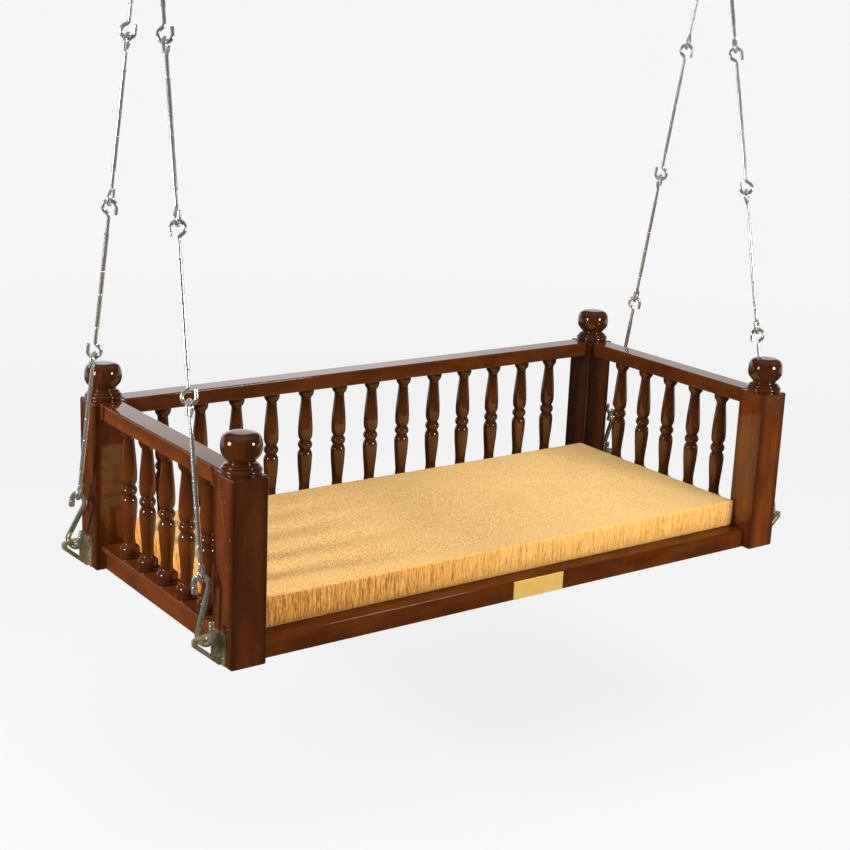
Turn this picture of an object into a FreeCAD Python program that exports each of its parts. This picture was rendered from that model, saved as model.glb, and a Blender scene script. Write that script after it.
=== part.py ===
import FreeCAD, Part
import math
import os
import re

import Sketcher

# A jhoola: a railed wooden seat that hangs from two ceiling fittings on chains of hooked steel rods.
# The origin is on the ceiling, halfway between the two fittings. +Z is up, +X runs along the seat
# towards its right end and +Y towards its back rail, so the open front faces -Y.
# All sizes are in millimetres.

SIZES = {
    # Seat frame
    "overall_length": 1524,
    "overall_depth": 714,
    "post_side": 79,
    "post_height": 391.5,
    "post_chamfer": 4,
    "top_rail_width": 53.6,
    "top_rail_height": 36,
    "rail_ease": 3,
    "bottom_rail_height": 46,
    "bottom_rail_thickness": 45,
    "rail_setback": 24,
    "sub_rail_thickness": 13,
    "cut_overrun": 5,
    # Seat board and what carries it
    "board_thickness": 12,
    "board_gap": 1,
    "cleat_side": 22,
    "bearer_width": 60,
    "bearer_height": 30,
    # Turned parts
    "spindle_radius": 23,
    "back_spindle_margin": 107,
    "side_spindle_margin": 93,
    "finial_radius": 42.5,
    "finial_height": 81.5,
    "finial_ring_radius": 39,
    "finial_bead_radius": 41,
    "finial_collar_radius": 32,
    "finial_neck_radius": 25,
    "finial_top_radius": 31.5,
    # Mattress
    "mattress_end_gap": 1,
    "mattress_back_gap": 3.2,
    "mattress_front_margin": 37.5,
    "mattress_edge": 58,
    "mattress_crown": 6,
    "mattress_corner": 14,
    "mattress_draw": 3,
    "mattress_roll": 6,
    "mattress_crown_margin": 110,
    "soft_gap": 0.3,
    # Plate on the front rail
    "front_plate_length": 142,
    "front_plate_height": 42,
    "front_plate_thickness": 3,
    "front_plate_bevel": 1,
    "front_plate_offset": 29,
    # Brackets on the posts
    "bracket_plate_width": 38,
    "bracket_plate_thickness": 4,
    "bracket_top": 72,
    "bracket_foot": 4,
    "bracket_bar": 12,
    "bracket_depth": 9,
    "bracket_reach": 60,
    "bracket_shoulder": 20,
    "bracket_nose_drop": 6,
    "bracket_nose": 14,
    "bracket_brace": 9,
    "bracket_nose_wall": 11,
    "bracket_root": 18,
    "bracket_hook_reach": 32,
    "bracket_chamfer": 3.9,
    "screw_head_radius": 4.5,
    "screw_head_height": 2,
    "screw_margin": 7,
    # Hooked rods and S-hooks
    "rod_pitch": 345,
    "rod_wire": 8.3,
    "rod_bend": 14,
    "rod_neck": 12,
    "rod_tip": 16,
    "hook_pitch": 123,
    "hook_wire": 12,
    "hook_bend": 17,
    "hook_tip": 21,
    "link_gap": 0.3,
    "bar_gap": 0.9,
    # Ceiling fittings
    "hanger_span": 1514,
    "ceiling_plate_length": 140,
    "ceiling_plate_width": 100,
    "ceiling_plate_thickness": 8,
    "ceiling_hole_radius": 5.5,
    "ceiling_hole_spacing_x": 106,
    "ceiling_hole_spacing_y": 66,
    "cheek_thickness": 8,
    "cheek_width": 44,
    "cheek_wrap": 18,
    "pin_drop": 50,
    "pin_radius": 8,
    "pin_head_radius": 12,
    "pin_head_length": 5,
    "pin_ring_length": 3,
    "eye_boss_radius": 17,
    "eye_boss_width": 28,
    "eye_side_gap": 1.5,
    "running_gap": 0.05,
    "eye_drop": 64,
    "eye_bar": 10,
    "eye_bar_chamfer": 3.6,
    "eye_window": 72,
    "eye_leg": 10,
    "eye_neck": 12,
    "hook_spacing": 28,
}

# Heights of the turned profile as shares of the spindle's length, from the foot up, each with its
# radius as a share of the foot's radius.
SPINDLE_SHARES = [
    (0.0, 1.0),
    (0.083, 1.0),
    (0.111, 0.61),
    (0.40, 0.77),
    (0.478, 0.73),
    (0.5, 0.51),
    (0.545, 0.775),
    (0.579, 0.54),
    (0.665, 0.76),
    (0.852, 0.63),
    (0.95, 0.5),
    (0.985, 0.83),
    (1.0, 0.83),
]

# Heights on the finial as shares of its height: its ring, its bead, its collar, and the neck's foot.
FINIAL_SHARES = (0.0, 0.045, 0.07, 0.13, 0.155, 0.19, 0.21)

BACK_SPINDLES = 13
SIDE_SPINDLES = 5
BEARERS = 3
RODS_PER_CHAIN = 4
BALL_RINGS = 7
SPINDLE_SIDES = 9
FINIAL_SIDES = 16
SCREW_SIDES = 10
WIRE_SIDES = 8

# One straight run of a bent wire turns about this many degrees.
BEND_STEP_DEG = 31
# How each hooked wire is turned about its chain, in degrees from the line to the middle of the seat.
HOOK_TURN_DEG = -60
ROD_TURNS_DEG = (46, -29)

# Sizes that follow from the ones above.
WORKED_OUT = {
    "post_x": "(overall_length - post_side) / 2",
    "post_y": "(overall_depth - post_side) / 2",
    "long_span": "overall_length - 2 * post_side",
    "side_span": "overall_depth - 2 * post_side",
    "rail_x": "overall_length / 2 - rail_setback - bottom_rail_thickness / 2",
    "rail_y": "overall_depth / 2 - rail_setback - bottom_rail_thickness / 2",
    "inner_x": "rail_x - bottom_rail_thickness / 2",
    "inner_y": "rail_y - bottom_rail_thickness / 2",
    "top_rail_z": "post_height - top_rail_height / 2",
    "sub_rail_z": "bottom_rail_height + sub_rail_thickness / 2",
    "spindle_foot": "bottom_rail_height + sub_rail_thickness",
    "spindle_length": "post_height - top_rail_height - spindle_foot",
    "cleat_top": "bottom_rail_height - board_thickness",
    "cleat_inner_y": "inner_y - cleat_side",
    "bearer_pitch": f"inner_x * 2 / {BEARERS + 1}",
    "bracket_face": "overall_length / 2 + bracket_plate_thickness",
    "bracket_under": "bracket_top - bracket_bar",
    "hook_x": "bracket_face + bracket_hook_reach",
    "eye_bar_top": "pin_drop + eye_drop",
    "chain_length": f"hook_pitch + {RODS_PER_CHAIN} * (rod_pitch - link_gap) - 2 * bar_gap",
    "chain_spread_x": "hook_x - hanger_span / 2",
    "chain_spread_y": "post_y - hook_spacing / 2",
    "chain_drop": "sqrt(chain_length ^ 2 - chain_spread_x ^ 2 - chain_spread_y ^ 2)",
    "seat_drop": "eye_bar_top + chain_drop + bracket_under",
    "back_spindle_pitch": f"(long_span - 2 * back_spindle_margin) / {BACK_SPINDLES - 1}",
    "side_spindle_pitch": f"(side_span - 2 * side_spindle_margin) / {SIDE_SPINDLES - 1}",
    "mattress_length": "long_span - 2 * mattress_end_gap",
    "mattress_back": "post_y - top_rail_width / 2 - mattress_back_gap",
    "mattress_front": "rail_y + bottom_rail_thickness / 2 - mattress_front_margin",
    "mattress_depth": "mattress_back + mattress_front",
    "mattress_y": "(mattress_back - mattress_front) / 2",
    "brace_slope": "(bracket_top - bracket_nose_drop - bracket_nose - bracket_foot)"
    " / (bracket_reach - bracket_foot)",
    "brace_rise": "bracket_brace * sqrt(1 + brace_slope ^ 2)",
    "cheek_x": "eye_boss_width / 2 + eye_side_gap + cheek_thickness / 2",
    "cheek_face": "cheek_x + cheek_thickness / 2",
}

SIDES = {"left": -1, "right": 1}
ENDS = {"front": -1, "rear": 1}

doc = FreeCAD.newDocument("Jhoola")
sheet = doc.addObject("Spreadsheet::Sheet", "Sizes")
parts = []


def fill_sheet():
    """Puts every size in the sheet, with its name beside it and as its alias."""
    rows = [(name, str(value)) for name, value in SIZES.items()]
    rows += [(name, "=" + text) for name, text in WORKED_OUT.items()]
    for row, (name, text) in enumerate(rows, 1):
        sheet.set(f"A{row}", name)
        sheet.set(f"B{row}", text)
        sheet.setAlias(f"B{row}", name)
    doc.recompute()


def size(name):
    """One size from the sheet, as a number."""
    return float(sheet.get(name))


def worth(text):
    """What an expression on the sheet's names comes to."""
    return float(sheet.evalExpression(text))


def linked(text):
    """The same expression, as an object outside the sheet has to write it."""
    return re.sub(r"[a-z_]+", lambda word: prefixed(word.group(0)), text)


def prefixed(word):
    return f"Sizes.{word}" if word in SIZES or word in WORKED_OUT else word


def place(part, x="0", y="0", z="0"):
    """Binds a part's place to the sheet. z counts from the bottoms of the posts."""
    part.setExpression("Placement.Base.x", linked(x))
    part.setExpression("Placement.Base.y", linked(y))
    part.setExpression("Placement.Base.z", linked(f"{z} - seat_drop"))


def hang(part, x="0", y="0", z="0"):
    """The same for a part of a ceiling fitting. z counts from the ceiling."""
    part.setExpression("Placement.Base.x", linked(x))
    part.setExpression("Placement.Base.y", linked(y))
    part.setExpression("Placement.Base.z", linked(z))


def new_body(label):
    body = doc.addObject("PartDesign::Body", label)
    body.Label = label
    parts.append(body)
    return body


def outline(body, role, corners):
    """A closed sketch of straight sides, each corner held by two expressions."""
    plane = next(f for f in body.Origin.OriginFeatures if f.Role == role)
    sketch = body.newObject("Sketcher::SketchObject", f"{body.Label}_sketch")
    sketch.AttachmentSupport = [(plane, "")]
    sketch.MapMode = "FlatFace"
    points = [FreeCAD.Vector(worth(x), worth(y), 0) for x, y in corners]
    last = len(points) - 1
    for i, point in enumerate(points):
        following = points[0 if i == last else i + 1]
        sketch.addGeometry(Part.LineSegment(point, following), False)
    for i in range(len(points)):
        following = 0 if i == last else i + 1
        sketch.addConstraint(Sketcher.Constraint("Coincident", i, 2, following, 1))
    for i, corner in enumerate(corners):
        for kind, text, value in zip(("DistanceX", "DistanceY"), corner, points[i]):
            row = sketch.addConstraint(Sketcher.Constraint(kind, -1, 1, i, 1, value))
            sketch.setExpression(f"Constraints[{row}]", linked(text))
    return sketch


def add_circle(sketch, x, y, radius):
    """A circle in a sketch, with its centre and radius held by expressions."""
    centre = FreeCAD.Vector(worth(x), worth(y), 0)
    across = FreeCAD.Vector(0, 0, 1)
    ring = sketch.addGeometry(Part.Circle(centre, across, worth(radius)), False)
    for kind, text, value in (("DistanceX", x, centre.x), ("DistanceY", y, centre.y)):
        row = sketch.addConstraint(Sketcher.Constraint(kind, -1, 1, ring, 3, value))
        sketch.setExpression(f"Constraints[{row}]", linked(text))
    row = sketch.addConstraint(Sketcher.Constraint("Radius", ring, worth(radius)))
    sketch.setExpression(f"Constraints[{row}]", linked(radius))


def empty_sketch(body, role):
    plane = next(f for f in body.Origin.OriginFeatures if f.Role == role)
    sketch = body.newObject("Sketcher::SketchObject", f"{body.Label}_circles")
    sketch.AttachmentSupport = [(plane, "")]
    sketch.MapMode = "FlatFace"
    return sketch


def pad(body, sketch, length, centred=True, backwards=False):
    feature = body.newObject("PartDesign::Pad", f"{body.Label}_pad")
    feature.Profile = sketch
    feature.setExpression("Length", linked(length))
    feature.Midplane = centred
    feature.Reversed = backwards
    return feature


def cut(body, sketch, length):
    """A pocket to both sides of the sketch's plane, checked to take material away."""
    doc.recompute()
    before = body.Shape.Volume
    feature = body.newObject("PartDesign::Pocket", f"{body.Label}_pocket")
    feature.Profile = sketch
    feature.setExpression("Length", linked(length))
    feature.Midplane = True
    doc.recompute()
    if body.Shape.Volume >= before:
        raise RuntimeError(f"{body.Label}: a pocket takes nothing away")
    return feature


def eased(half_width, half_height, ease):
    """The corners of a rectangle about its centre, with each corner cut off."""
    w, t, e = half_width, half_height, ease
    return [
        (f"{w} - {e}", f"-({t})"),
        (w, f"-({t}) + {e}"),
        (w, f"{t} - {e}"),
        (f"{w} - {e}", t),
        (f"-({w}) + {e}", t),
        (f"-({w})", f"{t} - {e}"),
        (f"-({w})", f"-({t}) + {e}"),
        (f"-({w}) + {e}", f"-({t})"),
    ]


def bevel(body, feature, chosen, distance):
    """Chamfers the edges of a feature for which chosen(edge) holds."""
    doc.recompute()
    edges = enumerate(feature.Shape.Edges, 1)
    names = [f"Edge{i}" for i, edge in edges if chosen(edge)]
    if not names:
        raise RuntimeError(f"{body.Label}: no edge to chamfer")
    chamfer = body.newObject("PartDesign::Chamfer", f"{body.Label}_bevel")
    chamfer.Base = (feature, names)
    chamfer.setExpression("Size", linked(distance))
    return chamfer


def lies_along(edge, axis, height, length):
    """Whether an edge runs along this axis at this height and is longer than this."""
    bounds = edge.BoundBox
    level = max(abs(bounds.ZMin - height), abs(bounds.ZMax - height))
    return level < edge.Length / 1000 and getattr(bounds, f"{axis}Length") > length


def solid_part(label, shape):
    """A part whose shape is worked out here from the sheet's sizes."""
    part = doc.addObject("Part::Feature", label)
    part.Label = label
    part.Shape = shape
    parts.append(part)
    return part


def skinned(rings):
    """A solid with flat faces between rings of points, and a flat cap at each end."""
    faces = []
    for low, high in zip(rings, rings[1:]):
        for i in range(len(low)):
            j = (i + 1) % len(low)
            corners = [low[i], low[j], high[j], high[i], low[i]]
            faces.append(Part.Face(Part.makePolygon(corners)))
    for ring in (rings[0], rings[-1]):
        faces.append(Part.Face(Part.makePolygon(ring + ring[:1])))
    solid = Part.Solid(Part.Shell(faces))
    if solid.Volume < 0:
        solid.reverse()
    return solid


# Posts, rails and boards of the seat


def make_posts():
    for end, y_sign in ENDS.items():
        for side, x_sign in SIDES.items():
            body = new_body(f"post_{end}_{side}")
            section = eased("post_side / 2", "post_side / 2", "post_chamfer")
            pad(body, outline(body, "XY_Plane", section), "post_height", centred=False)
            place(body, f"{x_sign} * post_x", f"{y_sign} * post_y")


def rail(label, plane, section, length, x, y, z):
    body = new_body(label)
    pad(body, outline(body, plane, section), length)
    place(body, x, y, z)


def make_rails():
    top = eased("top_rail_width / 2", "top_rail_height / 2", "rail_ease")
    bottom = eased("bottom_rail_thickness / 2", "bottom_rail_height / 2", "rail_ease")
    sub = eased("top_rail_width / 2", "sub_rail_thickness / 2", "rail_ease")
    half_bottom = "bottom_rail_height / 2"
    rail("top_rail_back", "YZ_Plane", top, "long_span", "0", "post_y", "top_rail_z")
    rail("sub_rail_back", "YZ_Plane", sub, "long_span", "0", "post_y", "sub_rail_z")
    rail("bottom_rail_back", "YZ_Plane", bottom, "long_span", "0", "rail_y", half_bottom)
    rail("front_rail", "YZ_Plane", bottom, "long_span", "0", "-rail_y", half_bottom)
    for side, sign in SIDES.items():
        x = f"{sign} * post_x"
        rail(f"top_rail_{side}", "XZ_Plane", top, "side_span", x, "0", "top_rail_z")
        rail(f"sub_rail_{side}", "XZ_Plane", sub, "side_span", x, "0", "sub_rail_z")
        x = f"{sign} * rail_x"
        rail(f"bottom_rail_{side}", "XZ_Plane", bottom, "side_span", x, "0", half_bottom)


def make_board():
    """The board lies inside the bottom rails, notched round the four posts."""
    x, y = "(inner_x - board_gap)", "(inner_y - board_gap)"
    notch_x = "(long_span / 2 - board_gap)"
    notch_y = "(side_span / 2 - board_gap)"
    corners = [
        (x, f"-{notch_y}"),
        (x, notch_y),
        (notch_x, notch_y),
        (notch_x, y),
        (f"-{notch_x}", y),
        (f"-{notch_x}", notch_y),
        (f"-{x}", notch_y),
        (f"-{x}", f"-{notch_y}"),
        (f"-{notch_x}", f"-{notch_y}"),
        (f"-{notch_x}", f"-{y}"),
        (notch_x, f"-{y}"),
        (notch_x, f"-{notch_y}"),
    ]
    body = new_body("seat_board")
    pad(body, outline(body, "XY_Plane", corners), "board_thickness", centred=False)
    place(body, z="cleat_top")


def box(x_length, y_length, z_length, centre_x, centre_y, top):
    """A plain batten, given by its lengths, its centre seen from above and its top."""
    corner = FreeCAD.Vector(centre_x - x_length / 2, centre_y - y_length / 2, top - z_length)
    return Part.makeBox(x_length, y_length, z_length, corner)


def make_supports():
    """Cleats on the rails' inner faces, and bearers that cross under the board between them."""
    cleat = size("cleat_side")
    top = size("cleat_top")
    y = size("inner_y") - cleat / 2
    x = size("inner_x") - cleat / 2
    long_cleats = [box(size("long_span"), cleat, cleat, 0, s * y, top) for s in SIDES.values()]
    short_length = 2 * size("cleat_inner_y")
    short_cleats = [box(cleat, short_length, cleat, s * x, 0, top) for s in SIDES.values()]
    cleats = solid_part("seat_cleats", Part.makeCompound(long_cleats + short_cleats))
    place(cleats)
    bearers = []
    for i in range(BEARERS):
        centre = (i - (BEARERS - 1) / 2) * size("bearer_pitch")
        length = 2 * size("cleat_inner_y")
        bearers.append(box(size("bearer_width"), length, size("bearer_height"), centre, 0, top))
    place(solid_part("seat_bearers", Part.makeCompound(bearers)))


# Turned parts


def turned(shares, sides, radius, length):
    """A turned shape with flat sides: a ring of points at each height of its profile."""
    rings = []
    for height_share, radius_share in shares:
        r = radius * radius_share
        turns = [2 * math.pi * (i + 0.5) / sides for i in range(sides)]
        z = length * height_share
        rings.append([FreeCAD.Vector(r * math.cos(a), r * math.sin(a), z) for a in turns])
    return skinned(rings)


def spindle_row(count, pitch, along_x):
    """A row of spindles about the middle of its rail."""
    spindle = turned(SPINDLE_SHARES, SPINDLE_SIDES, size("spindle_radius"), size("spindle_length"))
    row = []
    for i in range(count):
        offset = (i - (count - 1) / 2) * size(pitch)
        copy = spindle.copy()
        copy.translate(FreeCAD.Vector(offset, 0, 0) if along_x else FreeCAD.Vector(0, offset, 0))
        row.append(copy)
    return Part.makeCompound(row)


def make_spindles():
    back = solid_part("spindles_back", spindle_row(BACK_SPINDLES, "back_spindle_pitch", True))
    place(back, "0", "post_y", "spindle_foot")
    for side, sign in SIDES.items():
        row = spindle_row(SIDE_SPINDLES, "side_spindle_pitch", False)
        part = solid_part(f"spindles_{side}", row)
        place(part, f"{sign} * post_x", "0", "spindle_foot")


def finial_shares():
    """The finial's profile: ring, bead, collar, neck, and a ball that follows its own circle."""
    tall = size("finial_height")
    ring = size("finial_ring_radius")
    bead = size("finial_bead_radius")
    collar = size("finial_collar_radius")
    neck = size("finial_neck_radius")
    ball = size("finial_radius")
    low = math.asin(-math.sqrt(1 - (neck / ball) ** 2))
    high = math.acos(size("finial_top_radius") / ball)
    centre = tall - ball * math.sin(high)
    radii = [ring, ring, bead, bead, collar, collar, neck]
    points = [(tall * share, radius) for share, radius in zip(FINIAL_SHARES, radii)]
    for i in range(BALL_RINGS):
        turn = low + (high - low) * i / (BALL_RINGS - 1)
        points.append((centre + ball * math.sin(turn), ball * math.cos(turn)))
    return [(z / tall, r / ball) for z, r in points]


def make_finials():
    for end, y_sign in ENDS.items():
        for side, x_sign in SIDES.items():
            shape = turned(finial_shares(), FINIAL_SIDES, size("finial_radius"), size("finial_height"))
            part = solid_part(f"finial_{end}_{side}", shape)
            place(part, f"{x_sign} * post_x", f"{y_sign} * post_y", "post_height")


# Mattress


def mattress_section(inset, height):
    """A rounded rectangle whose four sides are drawn in a little at their middles."""
    x = size("mattress_length") / 2 - inset
    y = size("mattress_depth") / 2 - inset
    corner = size("mattress_corner")
    draw = size("mattress_draw")
    edges = []
    quarter = [(1, 1), (-1, 1), (-1, -1), (1, -1)]
    stops = []
    for sx, sy in quarter:
        along_y = FreeCAD.Vector(sx * x, sy * (y - corner), height)
        along_x = FreeCAD.Vector(sx * (x - corner), sy * y, height)
        reach = corner * (1 - math.sqrt(0.5))
        middle = FreeCAD.Vector(sx * (x - reach), sy * (y - reach), height)
        first, second = (along_y, along_x) if sx * sy > 0 else (along_x, along_y)
        stops.append((first, middle, second))
    waists = [
        FreeCAD.Vector(0, y - draw, height),
        FreeCAD.Vector(draw - x, 0, height),
        FreeCAD.Vector(0, draw - y, height),
        FreeCAD.Vector(x - draw, 0, height),
    ]
    for i, (first, middle, second) in enumerate(stops):
        following = stops[(i + 1) % len(stops)][0]
        edges.append(Part.Arc(first, middle, second).toShape())
        edges.append(Part.LineSegment(second, waists[i]).toShape())
        edges.append(Part.LineSegment(waists[i], following).toShape())
    return Part.Wire(edges)


def make_mattress():
    """Soft rolled edges below and above, and a low crown on top."""
    roll = size("mattress_roll")
    edge = size("mattress_edge")
    top = edge + size("mattress_crown")
    margin = size("mattress_crown_margin")
    crown = size("mattress_crown")
    sections = [
        (roll, 0),
        (0, roll),
        (0, edge - roll),
        (roll, edge),
        (margin / 2, edge + crown * 0.6),
        (margin, top),
    ]
    wires = [mattress_section(inset, height) for inset, height in sections]
    part = solid_part("mattress", Part.makeLoft(wires, True, True))
    place(part, "0", "mattress_y", "bottom_rail_height + soft_gap")


# Plate on the front rail


def make_front_plate():
    body = new_body("front_plate")
    section = [
        ("-front_plate_length / 2", "-front_plate_height / 2"),
        ("front_plate_length / 2", "-front_plate_height / 2"),
        ("front_plate_length / 2", "front_plate_height / 2"),
        ("-front_plate_length / 2", "front_plate_height / 2"),
    ]
    slab = pad(body, outline(body, "XZ_Plane", section), "front_plate_thickness", centred=False)
    doc.recompute()
    front = slab.Shape.BoundBox.YMin
    bevel(body, slab, lambda edge: edge.BoundBox.YMax < front / 2, "front_plate_bevel")
    y = "-(rail_y + bottom_rail_thickness / 2)"
    place(body, "front_plate_offset", y, "bottom_rail_height / 2")


# Brackets that the S-hooks pull on


def make_brackets():
    for end, y_sign in ENDS.items():
        for side, x_sign in SIDES.items():
            make_bracket(f"bracket_{end}_{side}", x_sign, y_sign)
    make_screws()


def make_bracket(label, x_sign, y_sign):
    """A plate on the post's end face with a three-sided ring that stands out from it."""
    body = new_body(label)
    plate = [
        ("0", "bracket_foot"),
        (f"{x_sign} * bracket_plate_thickness", "bracket_foot"),
        (f"{x_sign} * bracket_plate_thickness", "bracket_top"),
        ("0", "bracket_top"),
    ]
    pad(body, outline(body, "XZ_Plane", plate), "bracket_plate_width")
    low = "bracket_foot"
    start = "bracket_plate_thickness"
    nose = "(bracket_plate_thickness + bracket_reach)"
    shoulder = f"({nose} - bracket_shoulder)"
    nose_top = "bracket_top - bracket_nose_drop"
    ring = [
        (f"{x_sign} * {start} / 2", low),
        (f"{x_sign} * ({start} + bracket_foot)", low),
        (f"{x_sign} * {nose}", f"{nose_top} - bracket_nose"),
        (f"{x_sign} * {nose}", nose_top),
        (f"{x_sign} * {shoulder}", "bracket_top"),
        (f"{x_sign} * {start} / 2", "bracket_top"),
    ]
    pad(body, outline(body, "XZ_Plane", ring), "bracket_depth")
    root = "(bracket_plate_thickness + bracket_root)"
    run = f"({start} + bracket_foot)"
    end = f"({nose} - bracket_nose_wall)"
    line = "(bracket_foot + brace_rise)"
    window = [
        (f"{x_sign} * {root}", f"{line} + brace_slope * ({root} - {run})"),
        (f"{x_sign} * {end}", f"{line} + brace_slope * ({end} - {run})"),
        (f"{x_sign} * {end}", "bracket_under"),
        (f"{x_sign} * {root}", "bracket_under"),
    ]
    hole = cut(body, outline(body, "XZ_Plane", window), "bracket_depth + cut_overrun")
    under = size("bracket_under")
    length = size("bracket_root")
    bevel(body, hole, lambda edge: lies_along(edge, "X", under, length), "bracket_chamfer")
    place(body, f"{x_sign} * overall_length / 2", f"{y_sign} * post_y")


def make_screws():
    """Four screws in each bracket's plate, two each side of its ring."""
    margin = size("screw_margin")
    y = size("bracket_plate_width") / 2 - margin
    heights = (size("bracket_foot") + 2 * margin, size("bracket_top") - margin)
    screws = []
    for x_sign in SIDES.values():
        for y_sign in ENDS.values():
            for offset in (-y, y):
                for z in heights:
                    at = FreeCAD.Vector(x_sign * size("bracket_face"), y_sign * size("post_y") + offset, z)
                    screws.append(screw_head(at, x_sign))
    place(solid_part("bracket_screws", Part.makeCompound(screws)))


def screw_head(at, x_sign):
    """A low domed head with flat sides, on a plate that faces along X."""
    shares = [(0.0, 1.0), (1.0, 0.7)]
    head = turned(shares, SCREW_SIDES, size("screw_head_radius"), size("screw_head_height"))
    turn = FreeCAD.Rotation(FreeCAD.Vector(0, 1, 0), 90 * x_sign)
    head.Placement = FreeCAD.Placement(at, turn)
    return head


# Hooked wires of the chains


def bend(centre_u, centre_s, radius, start, sweep):
    """The corners of a bent stretch of wire: straight runs that touch the arc at their middles."""
    runs = max(1, round(abs(sweep) / BEND_STEP_DEG))
    step = math.radians(sweep) / runs
    reach = radius / math.cos(step / 2)
    turns = [math.radians(start) + step * (i + 0.5) for i in range(runs)]
    return [(centre_u + reach * math.cos(a), centre_s + reach * math.sin(a)) for a in turns]


def both_ends(lower, pitch):
    """A wire's lower half and the same half turned end for end, as one line of points."""
    return lower + [(-u, pitch - s) for u, s in reversed(lower)]


def rod_line():
    """A rod's middle line: tip, hook, swan neck, straight shank, and the same again at the top.

    u runs across the rod in its own plane and s along it, from the seat of its lower hook.
    """
    radius = size("rod_bend")
    neck = size("rod_neck")
    centre = radius - size("rod_wire") / 2
    neck_height = centre + math.sqrt(radius**2 + 2 * radius * neck)
    lean = math.degrees(math.acos(neck / (radius + neck)))
    lower = [(radius, centre + size("rod_tip"))]
    lower += bend(0, centre, radius, 0, -90)
    lower += bend(0, centre, radius, -90, -(90 + lean))
    lower += bend(-neck, neck_height, neck, -lean, lean)
    return both_ends(lower, size("rod_pitch"))


def hook_line():
    """An S-hook's middle line: its straight shank leaves one hook and touches the other."""
    radius = size("hook_bend")
    centre = radius - size("hook_wire") / 2
    spread = size("hook_pitch") - 2 * centre
    lean = math.degrees(math.asin(2 * radius / spread))
    lower = [(radius, centre + size("hook_tip"))]
    lower += bend(0, centre, radius, 0, -90)
    lower += bend(0, centre, radius, -90, -(90 + lean))
    return both_ends(lower, size("hook_pitch"))


def wire_along(line, wire):
    """A wire with flat sides along a line of points (u, s), mitred at each corner."""
    reach = wire / 2 / math.cos(math.pi / WIRE_SIDES)
    turns = [2 * math.pi * (i + 0.5) / WIRE_SIDES for i in range(WIRE_SIDES)]
    section = [(reach * math.cos(a), reach * math.sin(a)) for a in turns]
    headings = []
    for (u0, s0), (u1, s1) in zip(line, line[1:]):
        length = math.hypot(u1 - u0, s1 - s0)
        headings.append(((u1 - u0) / length, (s1 - s0) / length))
    rings = []
    for i, (u, s) in enumerate(line):
        before = headings[max(i - 1, 0)]
        after = headings[min(i, len(headings) - 1)]
        across = (-(before[1] + after[1]), before[0] + after[0])
        length = math.hypot(*across)
        spread = 2 / length**2
        ring = []
        for outwards, sideways in section:
            x = u + across[0] * spread * outwards
            z = s + across[1] * spread * outwards
            ring.append(FreeCAD.Vector(x, sideways, z))
        rings.append(ring)
    return skinned(rings)


def chain_frame(x_sign, y_sign):
    """Where a chain starts, at the bracket, and its three directions: up it, inwards and across."""
    drop = size("eye_bar_top")
    foot = FreeCAD.Vector(x_sign * size("hook_x"), y_sign * size("post_y"), -(drop + size("chain_drop")))
    head = FreeCAD.Vector(x_sign * size("hanger_span") / 2, y_sign * size("hook_spacing") / 2, -drop)
    up = (head - foot).normalize()
    inwards = FreeCAD.Vector(-x_sign, 0, 0)
    inwards = (inwards - up * inwards.dot(up)).normalize()
    across = inwards.cross(up) * x_sign
    return foot, up, inwards, across


def set_wire(label, shape, frame, turn_deg, start):
    """Sets a wire in its chain, turned about the chain, its lower seat this far up the chain."""
    foot, up, inwards, across = frame
    turn = math.radians(turn_deg)
    u_axis = inwards * math.cos(turn) + across * math.sin(turn)
    part = solid_part(label, shape)
    rotation = FreeCAD.Rotation(u_axis, up.cross(u_axis), up, "ZXY")
    part.Placement = FreeCAD.Placement(foot + up * start, rotation)


def make_chains():
    rod = wire_along(rod_line(), size("rod_wire"))
    hook = wire_along(hook_line(), size("hook_wire"))
    step = size("rod_pitch") - size("link_gap")
    for end, y_sign in ENDS.items():
        for side, x_sign in SIDES.items():
            frame = chain_frame(x_sign, y_sign)
            start = -size("bar_gap")
            set_wire(f"s_hook_{end}_{side}", hook.copy(), frame, HOOK_TURN_DEG, start)
            start += size("hook_pitch") - size("link_gap")
            for i in range(RODS_PER_CHAIN):
                label = f"rod_{end}_{side}_{i + 1}"
                turn = ROD_TURNS_DEG[i % len(ROD_TURNS_DEG)]
                set_wire(label, rod.copy(), frame, turn, start + i * step)


# Ceiling fittings


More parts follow.
